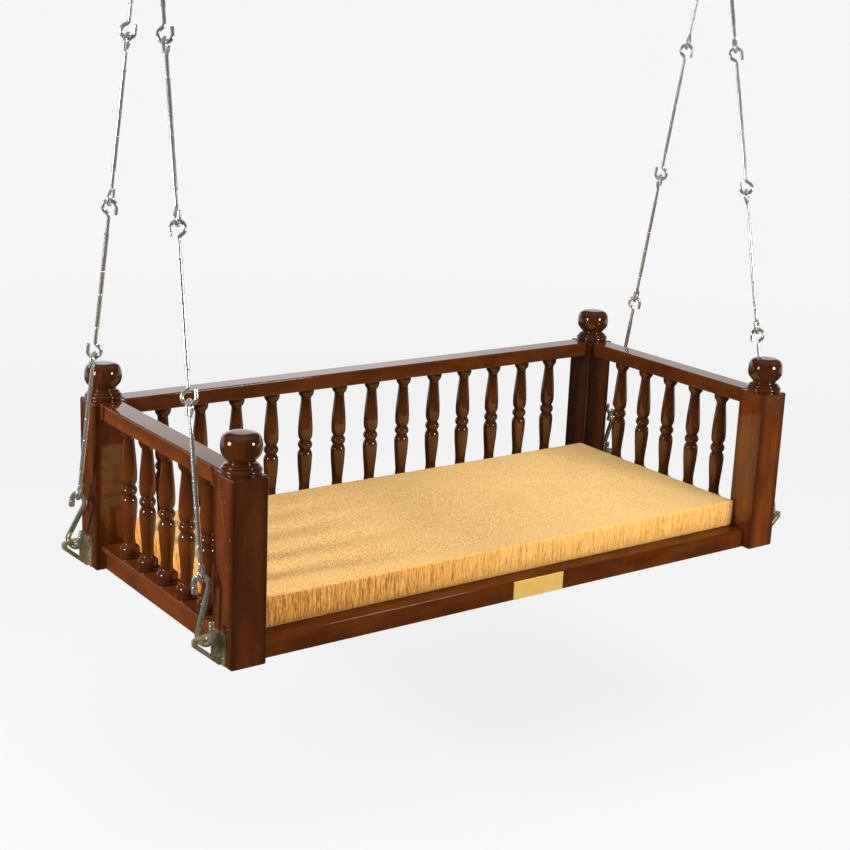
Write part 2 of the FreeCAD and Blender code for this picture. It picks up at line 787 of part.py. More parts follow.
def make_ceiling_plates():
    """Two plates, each with four bolt holes and two cheeks that hold its pivot pin."""
    plates = []
    for side, sign in SIDES.items():
        body = doc.addObject("PartDesign::Body", f"plate_{side}")
        x, y = "ceiling_plate_length / 2", "ceiling_plate_width / 2"
        base = eased(x, y, "post_chamfer")
        pad(body, outline(body, "XY_Plane", base), "ceiling_plate_thickness", False, True)
        holes = empty_sketch(body, "XY_Plane")
        for hole_x in ("-ceiling_hole_spacing_x / 2", "ceiling_hole_spacing_x / 2"):
            for hole_y in ("-ceiling_hole_spacing_y / 2", "ceiling_hole_spacing_y / 2"):
                add_circle(holes, hole_x, hole_y, "ceiling_hole_radius")
        cut(body, holes, "2 * (ceiling_plate_thickness + cut_overrun)")
        tip = "-(pin_drop + cheek_wrap)"
        cheek = [
            ("-cheek_width / 2", "-ceiling_plate_thickness / 2"),
            ("-cheek_wrap", "-pin_drop"),
            ("-cheek_wrap / 2", tip),
            ("cheek_wrap / 2", tip),
            ("cheek_wrap", "-pin_drop"),
            ("cheek_width / 2", "-ceiling_plate_thickness / 2"),
        ]
        pad(body, outline(body, "YZ_Plane", cheek), "2 * cheek_face")
        gap = [
            ("-cheek_width", "-ceiling_plate_thickness"),
            ("-cheek_width", f"{tip} - cut_overrun"),
            ("cheek_width", f"{tip} - cut_overrun"),
            ("cheek_width", "-ceiling_plate_thickness"),
        ]
        cut(body, outline(body, "YZ_Plane", gap), "2 * (cheek_face - cheek_thickness)")
        bore = empty_sketch(body, "YZ_Plane")
        add_circle(bore, "0", "-pin_drop", "pin_radius + running_gap")
        cut(body, bore, "2 * (cheek_face + cut_overrun)")
        hang(body, f"{sign} * hanger_span / 2")
        plates.append(body)
    pair = doc.addObject("Part::Compound", "ceiling_plates")
    pair.Links = plates
    parts.append(pair)


def make_pins():
    """Headed pins, each through both cheeks of its plate and kept in by a ring on its far end."""
    face = size("cheek_face") + size("running_gap")
    ring_radius = (size("pin_radius") + size("pin_head_radius")) / 2
    pins = []
    for sign in SIDES.values():
        stretches = [
            (-(face + size("pin_ring_length")), -face, ring_radius),
            (-face, face, size("pin_radius")),
            (face, face + size("pin_head_length"), size("pin_head_radius")),
        ]
        centre = FreeCAD.Vector(sign * size("hanger_span") / 2, 0, -size("pin_drop"))
        along = FreeCAD.Vector(sign, 0, 0)
        pieces = [
            Part.makeCylinder(radius, end - start, centre + along * start, along)
            for start, end, radius in stretches
        ]
        pins.append(pieces[0].fuse(pieces[1:]))
    solid_part("pivot_pins", Part.makeCompound(pins))


def make_eyes():
    """A stirrup that swings on its pin: a bored boss, two legs and a bar for the hooks."""
    for side, sign in SIDES.items():
        body = new_body(f"swing_eye_{side}")
        wide = "eye_boss_radius"
        boss = eased(wide, wide, f"{wide} * 0.586")
        pad(body, outline(body, "YZ_Plane", boss), "eye_boss_width")
        out = "(eye_window / 2 + eye_leg)"
        low = "(eye_drop + eye_bar)"
        knee = "(eye_boss_radius + eye_neck + eye_leg)"
        frame = [
            (f"-{out}", f"-{knee}"),
            (f"-{out}", f"-({low} - eye_leg / 2)"),
            (f"-({out} - eye_leg / 2)", f"-{low}"),
            (f"{out} - eye_leg / 2", f"-{low}"),
            (out, f"-({low} - eye_leg / 2)"),
            (out, f"-{knee}"),
            ("eye_boss_radius * 0.9", "-eye_boss_radius * 0.5"),
            ("-eye_boss_radius * 0.9", "-eye_boss_radius * 0.5"),
        ]
        pad(body, outline(body, "YZ_Plane", frame), "eye_bar")
        top = "(eye_boss_radius + eye_neck / 2)"
        window = [
            ("-eye_window / 2", "-eye_drop"),
            ("eye_window / 2", "-eye_drop"),
            ("eye_window / 2", f"-({knee} + eye_leg / 2)"),
            ("eye_leg", f"-{top}"),
            ("-eye_leg", f"-{top}"),
            ("-eye_window / 2", f"-({knee} + eye_leg / 2)"),
        ]
        hole = cut(body, outline(body, "YZ_Plane", window), "eye_boss_width")
        drop = -size("eye_drop")
        across = size("eye_window") / 2
        bevel(body, hole, lambda edge: lies_along(edge, "Y", drop, across), "eye_bar_chamfer")
        doc.recompute()
        bore = empty_sketch(body, "YZ_Plane")
        add_circle(bore, "0", "0", "pin_radius + running_gap")
        cut(body, bore, "eye_boss_width + 2 * cut_overrun")
        hang(body, f"{sign} * hanger_span / 2", "0", "-pin_drop")


def check_and_write():
    """Stops on any failed object, then writes each part to its own file."""
    doc.recompute()
    for item in doc.Objects:
        if any(word in item.State for word in ("Invalid", "Error")):
            raise RuntimeError(f"{item.Label}: {item.State}")
    os.makedirs("parts", exist_ok=True)
    for part in parts:
        shape = part.Shape
        if shape.isNull() or not shape.isValid():
            raise RuntimeError(f"{part.Label}: no valid shape")
        shape.exportStep(f"parts/{part.Label}.step")
    print(f"wrote {len(parts)} parts")
    print(f"chain length {size('chain_length'):.1f}, seat bottoms {size('seat_drop'):.1f} below the ceiling")


fill_sheet()
make_posts()
make_rails()
make_board()
make_supports()
make_spindles()
make_finials()
make_mattress()
make_front_plate()
make_brackets()
make_chains()
make_ceiling_plates()
make_pins()
make_eyes()
check_and_write()
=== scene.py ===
# %% [markdown]
# A jhoola is a railed wooden seat that hangs from the ceiling on hooked steel rods. Its solids and joints are
# already made. This lesson loads them as a fixed frame and dresses them: lacquered timber, turned spindles,
# bent wire, cast brackets and a ribbed mattress. Each piece rides on a body, so the seat can swing.

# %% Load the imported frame
import math

import bpy
from mathutils import Matrix, Vector
from mathutils import noise as noise_field


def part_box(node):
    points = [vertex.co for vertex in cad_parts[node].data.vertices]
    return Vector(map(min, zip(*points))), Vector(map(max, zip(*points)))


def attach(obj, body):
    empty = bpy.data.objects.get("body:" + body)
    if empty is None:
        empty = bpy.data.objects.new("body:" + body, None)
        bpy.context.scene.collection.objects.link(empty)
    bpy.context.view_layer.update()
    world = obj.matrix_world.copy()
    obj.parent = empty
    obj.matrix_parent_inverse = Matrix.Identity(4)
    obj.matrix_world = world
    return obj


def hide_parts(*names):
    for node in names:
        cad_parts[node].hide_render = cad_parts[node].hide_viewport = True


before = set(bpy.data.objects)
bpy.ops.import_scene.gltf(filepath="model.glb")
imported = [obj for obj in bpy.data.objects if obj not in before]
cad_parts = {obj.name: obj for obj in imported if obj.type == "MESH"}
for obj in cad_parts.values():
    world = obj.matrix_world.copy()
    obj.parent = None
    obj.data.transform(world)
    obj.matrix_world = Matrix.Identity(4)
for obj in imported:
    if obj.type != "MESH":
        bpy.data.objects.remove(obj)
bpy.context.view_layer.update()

# %% [markdown]
# The camera looks at the open front from the left, a little from above. Its place and angles were found by
# fitting the seat's corners to the photograph, so they are plain values here. The optical axis meets the
# picture a little above its middle, hence the shift.

# %% Camera at the photograph's place
PHOTO_SIDE = 850
LENS_PIXELS = 1585.38
AXIS_ROW = 409.07
CAMERA_YAW = 0.62615
CAMERA_PITCH = -0.258665
CAMERA_ROLL = 0.042029
SENSOR_MM = 36
CLIP_END = 100
CAMERA_PLACE = (-2.14807, -2.88263, -0.33748)

yaw = Matrix.Rotation(-CAMERA_YAW, 4, "Z")
pitch = Matrix.Rotation(math.pi / 2 + CAMERA_PITCH, 4, "X")
roll = Matrix.Rotation(CAMERA_ROLL, 4, "Z")

bpy.ops.object.select_all(action="DESELECT")
bpy.ops.object.camera_add()
camera = bpy.context.object
camera.name = "photo_camera"
camera.matrix_world = Matrix.Translation(CAMERA_PLACE) @ yaw @ pitch @ roll
camera.data.sensor_width = SENSOR_MM
camera.data.lens = LENS_PIXELS / PHOTO_SIDE * SENSOR_MM
camera.data.shift_y = (AXIS_ROW - PHOTO_SIDE / 2) / PHOTO_SIDE
camera.data.clip_end = CLIP_END
bpy.context.scene.camera = camera
print("lens", round(camera.data.lens, 2), "shift", round(camera.data.shift_y, 4))

# %% [markdown]
# Every finish is a small network of nodes. Wiring it by hand hides the arithmetic, so one class wraps a
# socket and turns Python's operators into Math nodes, and another adds any other node to a tree.


# %% Shader maths as Python expressions
def maths(operation, swapped=False):
    """A method that adds one Math node, for a Value and perhaps another one or a number."""

    def method(self, other=0):
        pair = [other, self] if swapped else [self, other]
        return self.recipe.add("ShaderNodeMath", {"operation": operation}, pair)

    return method


class Value:
    """A number or colour that varies over the surface: an operator on it adds a Math node."""

    def __init__(self, recipe, socket):
        self.recipe = recipe
        self.socket = socket

    __add__ = __radd__ = maths("ADD")
    __sub__ = maths("SUBTRACT")
    __rsub__ = maths("SUBTRACT", swapped=True)
    __mul__ = __rmul__ = maths("MULTIPLY")
    __truediv__ = maths("DIVIDE")
    __pow__ = maths("POWER")
    __abs__ = maths("ABSOLUTE")
    lesser = maths("MINIMUM")
    greater = maths("MAXIMUM")
    wave = maths("SINE")


class Recipe:
    """A node tree, with short names for the nodes that go into it."""

    def __init__(self, tree):
        self.tree = tree

    def fill(self, socket, value):
        if isinstance(value, Value):
            self.tree.links.new(value.socket, socket)
        else:
            socket.default_value = value

    def add(self, kind, settings, inputs, output=0):
        """Adds a node. inputs is a list in socket order, or a dict by socket name or number."""
        node = self.tree.nodes.new(kind)
        for name, value in settings.items():
            setattr(node, name, value)
        pairs = enumerate(inputs) if isinstance(inputs, list) else inputs.items()
        for name, value in pairs:
            self.fill(node.inputs[name], value)
        return Value(self, node.outputs[output])

    def place(self):
        return self.add("ShaderNodeTexCoord", {}, [], "Object")

    def stretched(self, vector, scales):
        return self.add("ShaderNodeVectorMath", {"operation": "MULTIPLY"}, [vector, scales])

    def parts(self, vector):
        node = self.add("ShaderNodeSeparateXYZ", {}, [vector]).socket.node
        return [Value(self, socket) for socket in node.outputs]

    def cloud(self, vector, scale, detail, roughness=0.5):
        inputs = {"Vector": vector, "Scale": scale, "Detail": detail, "Roughness": roughness}
        return self.add("ShaderNodeTexNoise", {}, inputs, "Fac")

    def streaks(self, vector, scales, detail, roughness=0.5):
        """A cloud with its own scale along each axis."""
        return self.cloud(self.stretched(vector, scales), 1.0, detail, roughness)

    def between(self, value, low, high):
        """The value's place between low and high, held to 0 and 1 and smoothed."""
        inputs = {"Value": value, "From Min": low, "From Max": high}
        return self.add("ShaderNodeMapRange", {"interpolation_type": "SMOOTHSTEP"}, inputs)

    def ramp(self, value, *stops):
        """The colour at this value, from stops of a place between 0 and 1 and a colour."""
        ramp = self.add("ShaderNodeValToRGB", {}, [value])
        elements = ramp.socket.node.color_ramp.elements
        while len(elements) < len(stops):
            elements.new(1)
        for element, (place, colour) in zip(elements, stops):
            element.position = place
            element.color = (*colour, 1)
        return ramp

    def mixed(self, share, first, second):
        """Two colours mixed: each is a Value or red, green and blue."""
        pair = [c if isinstance(c, Value) else (*c, 1) for c in (first, second)]
        inputs = {"Factor": share, 6: pair[0], 7: pair[1]}
        return self.add("ShaderNodeMix", {"data_type": "RGBA"}, inputs, 2)

    def bumped(self, height, distance, strength=1.0):
        inputs = {"Height": height, "Distance": distance, "Strength": strength}
        return self.add("ShaderNodeBump", {}, inputs)


class Finish(Recipe):
    """A material with one Principled shader."""

    def __init__(self, name, **settings):
        self.material = bpy.data.materials.new(name)
        self.material.use_nodes = True
        super().__init__(self.material.node_tree)
        self.shader = self.tree.nodes["Principled BSDF"]
        self.set(**settings)

    def set(self, **settings):
        """Sets the shader's own sockets, named with _ for a space, to a number, a colour or a Value."""
        for name, value in settings.items():
            self.fill(self.shader.inputs[name.replace("_", " ")], value)


# %% [markdown]
# The timber is stained a deep red brown and lacquered until it shines. It is darker towards a post's corners,
# and a spindle's foot, grooves and cap get painted shade, with an orange ground showing between them. The
# right-hand posts carry painted light and painted shade in their tone. The grain is long streaks with short
# dark pores. The lacquer is the shader's coat, over a ground with no gloss.

# %% Lacquered timber
STAIN_BODY = Vector((0.084, 0.0203, 0.0030))
STAIN_DEEP = STAIN_BODY * 0.34
STAIN_GLOW = Vector((0.148, 0.0365, 0.0045))
GRAIN_ALONG = 1.6
GRAIN_ACROSS = 34
PORE_ALONG = 26
PORE_ACROSS = 900
BLOTCH_ALONG = 8
BLOTCH_ACROSS = 24


def grain_scale(axis, along, across):
    """Noise scales that draw streaks along this axis."""
    return [along if axis == i else across for i in range(3)]


def lacquered_timber(name, axis, tone, darkening=None, coat=1.0):
    """The finish for grain along this axis, darker or lighter by tone, and darker where the given function
    says, which paints shade on the spindles.
    """
    wood = Finish(name, Coat_Weight=coat, Coat_Roughness=0.05, Coat_IOR=1.55, Specular_IOR_Level=0.0)
    place = wood.place()
    long_place = wood.stretched(place, grain_scale(axis, GRAIN_ALONG, GRAIN_ACROSS))
    drift = wood.cloud(place, 3.1, 2) * 0.9
    grain_place = wood.add("ShaderNodeVectorMath", {"operation": "ADD"}, [long_place, drift])
    grain = wood.cloud(grain_place, 1.0, 8, 0.62)
    bands = (grain * 30 + drift * 6).wave() * 0.5 + 0.5
    pores = wood.streaks(place, grain_scale(axis, PORE_ALONG, PORE_ACROSS), 2)
    pores = wood.between(pores, 0.60, 0.74)
    blotch = wood.streaks(place, grain_scale(axis, BLOTCH_ALONG, BLOTCH_ACROSS), 3, 0.55)
    blotch = wood.between(blotch, 0.32, 0.68)
    share = wood.between(grain, 0.30, 0.72) * 0.12 + bands * 0.02 + blotch * 0.34 + 0.25
    # The given function paints shade on a spindle's foot, grooves and cap, and darkens a post towards its
    # arrises.
    if darkening:
        share = share * (1 - darkening(wood, place))
    stains = [stain * tone for stain in (STAIN_DEEP, STAIN_BODY, STAIN_GLOW)]
    colour = wood.ramp(share, (0.0, stains[0]), (0.48, stains[1]), (1.0, stains[2]))
    wood.set(
        Base_Color=wood.mixed(pores * 0.3, colour, stains[0]),
        Roughness=0.24 + grain * 0.14,
        Normal=wood.bumped(bands * 0.1 - pores * 0.6, 0.00008),
    )
    return wood


post_low, post_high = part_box("post_rear_right")
post_middle = (post_low + post_high) / 2
post_half = (post_high.x - post_low.x) / 2


def near_arris(wood, place):
    """Darker towards a post's four long edges."""
    x, y, z = wood.parts(place)
    across_x = abs(abs(x) - post_middle.x)
    across_y = abs(abs(y) - post_middle.y)
    return wood.between(across_x.lesser(across_y) / post_half, 0.42, 1.0) * 0.8


SPINDLE_HEIGHT = 0.2965
spindle_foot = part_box("spindles_back")[0].z
# Painted shade along a spindle: a share of its height, and how much darker the spindle is there.
SPINDLE_PAINTED_SHADE = [
    (0.0, 0.75), (0.12, 0.55), (0.26, 0.45), (0.41, 0.0), (0.475, 0.7), (0.53, 0.45),
    (0.56, 0.75), (0.64, 0.0), (0.80, 0.35), (0.93, 0.75), (1.0, 0.65),
]


def painted_groove_shade(wood, place):
    """Painted shade: darker on a spindle's foot, grooves and cap, and hardly on its two bellies."""
    x, y, z = wood.parts(place)
    height = (z - spindle_foot) / SPINDLE_HEIGHT
    return wood.ramp(height, *[(at, (shade,) * 3) for at, shade in SPINDLE_PAINTED_SHADE])


timber_x = lacquered_timber("timber_grain_x", 0, 1.0)
timber_y = lacquered_timber("timber_grain_y", 1, 1.05)
front_rail_timber = lacquered_timber("timber_front_rail", 0, 1.0, None, 0.35)
left_post_timber = lacquered_timber("timber_left_posts", 2, 0.88, near_arris)
# The right-hand posts' tones are painted light and painted shade: the front one lighter, the rear one darker.
front_right_painted_light_timber = lacquered_timber("timber_front_right_post_painted_light", 2, 1.45, near_arris)
rear_right_painted_shade_timber = lacquered_timber("timber_rear_right_post_painted_shade", 2, 0.6, near_arris)
spindle_timber = lacquered_timber("timber_spindles", 2, 0.95, painted_groove_shade)
finial_timber = lacquered_timber("timber_finials", 2, 0.56)
print("timber finishes:", sum("timber" in m.name for m in bpy.data.materials))

# %% [markdown]
# Every new piece goes the same way: it is modelled where it belongs, its place is moved into its mesh so that
# its object stands at the origin, and it is handed to the frame with the body it rides on, the solids it
# stands for and its finish.


# %% Helpers for modelling and handing over
def clear_selection():
    if bpy.context.mode != "OBJECT":
        bpy.ops.object.mode_set(mode="OBJECT")
    bpy.ops.object.select_all(action="DESELECT")


def choose(piece):
    clear_selection()
    piece.select_set(True)
    bpy.context.view_layer.objects.active = piece


def edit(piece):
    choose(piece)
    bpy.ops.object.mode_set(mode="EDIT")
    bpy.ops.mesh.select_all(action="SELECT")


def done_editing():
    bpy.ops.object.mode_set(mode="OBJECT")


def settle(piece):
    """Moves a piece's place, turn and size into its mesh."""
    choose(piece)
    bpy.ops.object.transform_apply(location=True, rotation=True, scale=True)


def soften(piece, degrees=38):
    choose(piece)
    bpy.ops.object.shade_smooth_by_angle(angle=math.radians(degrees))


def applied(piece, kind, **settings):
    """Adds a modifier of this kind and applies it."""
    modifier = piece.modifiers.new("shaping", kind)
    for name, value in settings.items():
        setattr(modifier, name, value)
    choose(piece)
    bpy.ops.object.modifier_apply(modifier="shaping")


def flat_faces_true(piece):
    """Lets the large faces set the shading, so that a planed face reflects as a flat one up to its arris."""
    applied(piece, "WEIGHTED_NORMAL", weight=100, keep_sharp=True)


def block(name, low, high):
    """A cube stretched to this box."""
    clear_selection()
    bpy.ops.mesh.primitive_cube_add(size=1, location=(low + high) / 2)
    piece = bpy.context.object
    piece.name = name
    piece.scale = high - low
    settle(piece)
    return piece


def round_edges(piece, radius, steps):
    edit(piece)
    bpy.ops.mesh.bevel(offset=radius, segments=steps, profile=0.5, affect="EDGES")


def face_outwards(piece, gap=1e-5):
    edit(piece)
    bpy.ops.mesh.remove_doubles(threshold=gap)
    bpy.ops.mesh.normals_make_consistent(inside=False)
    done_editing()


def hand_over(piece, body, slot, finish, *nodes):
    piece.data.materials.clear()
    piece.data.materials.append(finish.material)
    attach(piece, body)
    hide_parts(*nodes)
    return piece


def gathered(name, copies):
    """Joins copies into one piece."""
    choose(copies[0])
    for copy in copies[1:]:
        copy.select_set(True)
    bpy.ops.object.join()
    copies[0].name = name
    return copies[0]


def copied(piece, matrix):
    """A copy with its own mesh, moved by the matrix and settled there."""
    choose(piece)
    bpy.ops.object.duplicate()
    copy = bpy.context.object
    copy.matrix_world = matrix
    settle(copy)
    return copy


def from_points(name, points, faces):
    """A smooth-shaded piece from its points and faces."""
    mesh = bpy.data.meshes.new(name)
    mesh.from_pydata(points, [], faces)
    mesh.shade_smooth()
    piece = bpy.data.objects.new(name, mesh)
    bpy.context.scene.collection.objects.link(piece)
    return piece


def discard(piece):
    choose(piece)
    bpy.ops.object.delete()


# %% [markdown]
# Posts and rails are planed timber with rounded arrises, which catch a thin line of light. A cube is sized to
# the solid that it stands for and bevelled in edit mode. A post's corners are rounded more than a rail's.

# %% Posts and rails
POST_ROUND = 0.0042
RAIL_ROUND = 0.0032
ROUND_STEPS = 4


def planed(node, radius, finish):
    """A timber of the node's own size with rounded arrises."""
    piece = block(f"{node}_timber", *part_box(node))
    round_edges(piece, radius, ROUND_STEPS)
    done_editing()
    soften(piece)
    flat_faces_true(piece)
    return hand_over(piece, "seat", "lacquered_wood", finish, node)


corners = [(end, side) for end in ("front", "rear") for side in ("left", "right")]
post_finishes = {("front", "right"): front_right_painted_light_timber, ("rear", "right"): rear_right_painted_shade_timber}
timbers = []
for end, side in corners:
    finish = post_finishes.get((end, side), left_post_timber)
    timbers.append(planed(f"post_{end}_{side}", POST_ROUND, finish))
for level in ("top_rail", "sub_rail", "bottom_rail"):
    for side, finish in (("back", timber_x), ("left", timber_y), ("right", timber_y)):
        timbers.append(planed(f"{level}_{side}", RAIL_ROUND, finish))
timbers.append(planed("front_rail", RAIL_ROUND, front_rail_timber))
print("posts and rails:", len(timbers))

# %% [markdown]
# A spindle is made as on a lathe: the cutter's path is drawn from foot to cap, smoothed, and spun about its
# axis. It has a bun foot, a long body that swells upwards, a bead between two grooves, a second body that
# thins again, and a cup that meets the rail.


# %% Turning a profile
def smoothed(points, steps):
    """A curve through the points, with this many stretches between neighbours."""
    ends = [points[0], *points, points[-1]]
    path = []
    for before, start, stop, after in zip(ends, ends[1:], ends[2:], ends[3:]):
        for step in range(steps):
            t = step / steps
            place = []
            for a, b, c, d in zip(before, start, stop, after):
                bend = (2 * a - 5 * b + 4 * c - d) * t**2 + (3 * b - a - 3 * c + d) * t**3
                place.append(b + ((c - a) * t + bend) / 2)
            path.append(place)
    return path + [list(points[-1])]


def turned(name, profile, steps, sides):
    """Spins a line of (height, radius) in millimetres about the Z axis, and closes both ends."""
    line = smoothed(profile, steps)
    clear_selection()
    bpy.ops.mesh.primitive_plane_add(size=0.001)
    piece = bpy.context.object
    piece.name = name
    edit(piece)
    bpy.ops.mesh.merge(type="CENTER")
    at = Vector((0, 0, 0))
    for z, r in [(line[0][0], 0), *line, (line[-1][0], 0)]:
        goal = Vector((r, 0, z)) / 1000
        bpy.ops.mesh.extrude_region_move(TRANSFORM_OT_translate={"value": goal - at})
        at = goal
    bpy.ops.mesh.select_all(action="SELECT")
    bpy.ops.mesh.spin(steps=sides, angle=2 * math.pi, center=(0, 0, 0), axis=(0, 0, 1))
    done_editing()
    face_outwards(piece)
    soften(piece, 32)
    return piece


SPINDLE_LINE = [
    (0, 21.4), (0.8, 22), (5.4, 22), (6.6, 20.7), (7.8, 20.7), (9, 21.9), (12.5, 22.8), (17, 23), (22, 22.4),
    (26, 20.2), (28.4, 17.4), (31, 15), (34, 13.8), (48, 12.8), (54, 13), (60, 13.4), (72, 14.4), (84, 15.5),
    (96, 16.7), (108, 17.4), (120, 18), (127, 18.1), (132, 17.8), (135, 17.2), (138, 16.2), (141, 14.6),
    (143.5, 13), (146, 14.6), (150, 17), (153, 17.7), (156, 17.9), (159, 17.4), (162, 15.9), (165, 13.8),
    (166.5, 13), (168, 13.8), (171, 15.5), (174, 16.6), (177, 17.2), (180, 17.7), (188, 17.9), (196, 17.9),
    (204, 17.5), (213, 17), (222, 16.4), (231, 15.7), (240, 14.9), (249, 14), (258, 13.2), (267, 12.4),
    (272.5, 12), (275.5, 13), (278, 15), (281, 17), (284, 18), (288, 19), (296.5, 19),
]
spindle = turned("spindle", SPINDLE_LINE, 2, 26)
print("spindle faces:", len(spindle.data.polygons))

# %% [markdown]
# Thirteen spindles stand along the back and five at each side. A row's box, from the solids, gives the first
# and the last spindle, and the rest are spaced evenly. Each copy is turned a little about its own axis.

# %% Rows of spindles
ROW_END = 0.022655
TURN_PER_COPY = 0.83


def spindle_row(node, count, axis):
    low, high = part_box(node)
    middle = (low + high) / 2
    half_row = (high - low)[axis] / 2 - ROW_END
    copies = []
    for i in range(count):
        place = Vector((middle.x, middle.y, low.z))
        place[axis] += half_row * (2 * i / (count - 1) - 1)
        twist = Matrix.Rotation(TURN_PER_COPY * i, 4, "Z")
        copies.append(copied(spindle, Matrix.Translation(place) @ twist))
    row = gathered(f"{node}_turned", copies)
    hand_over(row, "seat", "lacquered_wood", spindle_timber, node)


spindle_row("spindles_back", 13, 0)
spindle_row("spindles_left", 5, 1)
spindle_row("spindles_right", 5, 1)
discard(spindle)
print("spindle rows made")

# %% [markdown]
# Each post carries a ball finial. From below it has a flat ring, a broad bead, a thin second bead, a waist
# and a squat ball whose top the maker cut flat. It is turned like the spindles, in finer steps, because its
# highlights show every corner.

# %% Ball finials
TURN_PER_METRE = 7.47
FINIAL_LINE = [
    (0, 38.6), (0.6, 39.8), (2.2, 40), (3, 39.2), (3.8, 39.6), (5.5, 40.9), (8, 41.3), (10.5, 40.9),
    (12.8, 39), (14, 36.6), (14.6, 35.4), (15.4, 35.7), (17, 36), (18.6, 35), (20, 32.4), (21.4, 29.6),
    (23, 28.1), (24.6, 27.8), (26.4, 28.3), (28.5, 30), (31, 32.3), (34, 34.9), (38, 37.8), (43, 40.1),
    (49, 41.2), (54.5, 41.4), (60, 41.1), (66, 40.2), (71, 38.7), (75.5, 36.3), (77.5, 34), (79, 31.4),
    (80.2, 28.2), (81, 24.8), (81.4, 21.5), (81.6, 17), (81.7, 9),
]
finial = turned("finial", FINIAL_LINE, 3, 56)
for end, side in corners:
    node = f"finial_{end}_{side}"
    low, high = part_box(node)
    foot = Vector(((low.x + high.x) / 2, (low.y + high.y) / 2, low.z))
    twist = Matrix.Rotation(TURN_PER_METRE * foot.x, 4, "Z")
    ball = copied(finial, Matrix.Translation(foot) @ twist)
    ball.name = f"{node}_turned"
    hand_over(ball, "seat", "lacquered_wood", finial_timber, node)
discard(finial)
print("finials:", len(corners))

# %% [markdown]
# Under the mattress a plywood board rests on cleats and bearers. Their solids are already true, so they stay
# and only get a finish: a thin brown stain that leaves the ply's long streaks, duller than the lacquer.


# %% Board, cleats and bearers
def thin_stain(name, axis, tint):
    wood = Finish(name, Coat_Roughness=0.3)
    place = wood.place()
    grain = wood.streaks(place, grain_scale(axis, 1.6, 30), 7, 0.6)
    fibre = wood.streaks(place, grain_scale(axis, 22, 700), 2)
    share = wood.between(grain, 0.3, 0.7) * 0.7 + fibre * 0.3
    light = [c * 1.5 for c in tint]
    dark = [c * 0.55 for c in tint]
    wood.set(
        Base_Color=wood.ramp(share, (0.1, dark), (0.55, tint), (0.95, light)),
        Roughness=0.48 + fibre * 0.2,
        Coat_Weight=0.25 + grain * 0.1,
        Normal=wood.bumped(fibre, 0.0002),
    )
    return wood


board_finish = thin_stain("stained_ply", 0, (0.17, 0.062, 0.022))
batten_finish = thin_stain("stained_batten", 1, (0.21, 0.092, 0.038))
hidden = {"seat_board": board_finish, "seat_cleats": batten_finish, "seat_bearers": batten_finish}
for node, finish in hidden.items():
    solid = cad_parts[node]
    solid.data.materials.clear()
    solid.data.materials.append(finish.material)
print("board and battens finished")

# %% [markdown]
# The rods and hooks are plated steel wire, and the brackets are plated castings. Bare metal shows what stands
# around it, so its own look is in small things: fine lines from drawing it, grit, and a cloudy plating that
# lets a darker, browner ground through. One function makes them all.


# %% Plated and cast metal
def plated(name, colour, shade, roughness, cloudiness, grit, bump, bare=0.9):
    """Worn plating scatters some light, so the share of bare metal is under 1."""
    metal = Finish(name, Metallic=bare)
    place = metal.place()
    haze = metal.between(metal.cloud(place, 24, 4, 0.6), 0.35, 0.72)
    speck = metal.cloud(place, grit, 3, 0.6)
    drawn = metal.streaks(place, (1500, 1500, 60), 2)
    metal.set(
        Base_Color=metal.mixed(haze * cloudiness, colour, shade),
        Roughness=metal.between(speck, 0.2, 0.9) * roughness * 0.7 + haze * roughness * 0.5 + roughness * 0.6,
        Normal=metal.bumped(speck * 0.7 + drawn * 0.3, bump),
    )
    return metal


rod_metal = plated("rod_plating", (0.88, 0.88, 0.86), (0.60, 0.59, 0.55), 0.23, 0.7, 420, 0.00004, 0.92)
hook_metal = plated("hook_plating", (0.82, 0.77, 0.62), (0.38, 0.33, 0.21), 0.21, 0.9, 380, 0.00008, 0.92)
cast_metal = plated("bracket_casting", (0.88, 0.76, 0.48), (0.36, 0.29, 0.14), 0.29, 1, 520, 0.00020, 0.86)
screw_metal = plated("screw_plating", (0.60, 0.56, 0.47), (0.40, 0.36, 0.28), 0.28, 0.5, 300, 0.00003)
ceiling_metal = plated("ceiling_steel", (0.56, 0.56, 0.55), (0.42, 0.42, 0.42), 0.34, 0.5, 600, 0.00008)
print("metals made")

# %% [markdown]
# Every rod is one wire, hooked at both ends. It is bent here as at a bench: a filled circle is the cut end, a
# straight run is an extrusion and a bend is a spin about its centre. The swan neck brings the hook back over
# the shank's own line, which is why a loaded chain hangs straight. Faint rolled rings go round the shank,
# which is a little thicker between the first and the last of them.

# %% Bending wire
BEND_DEGREES = 11
CUT_SHARE = 0.86
CUT_ROUND = 0.0006
EASE = 0.0005


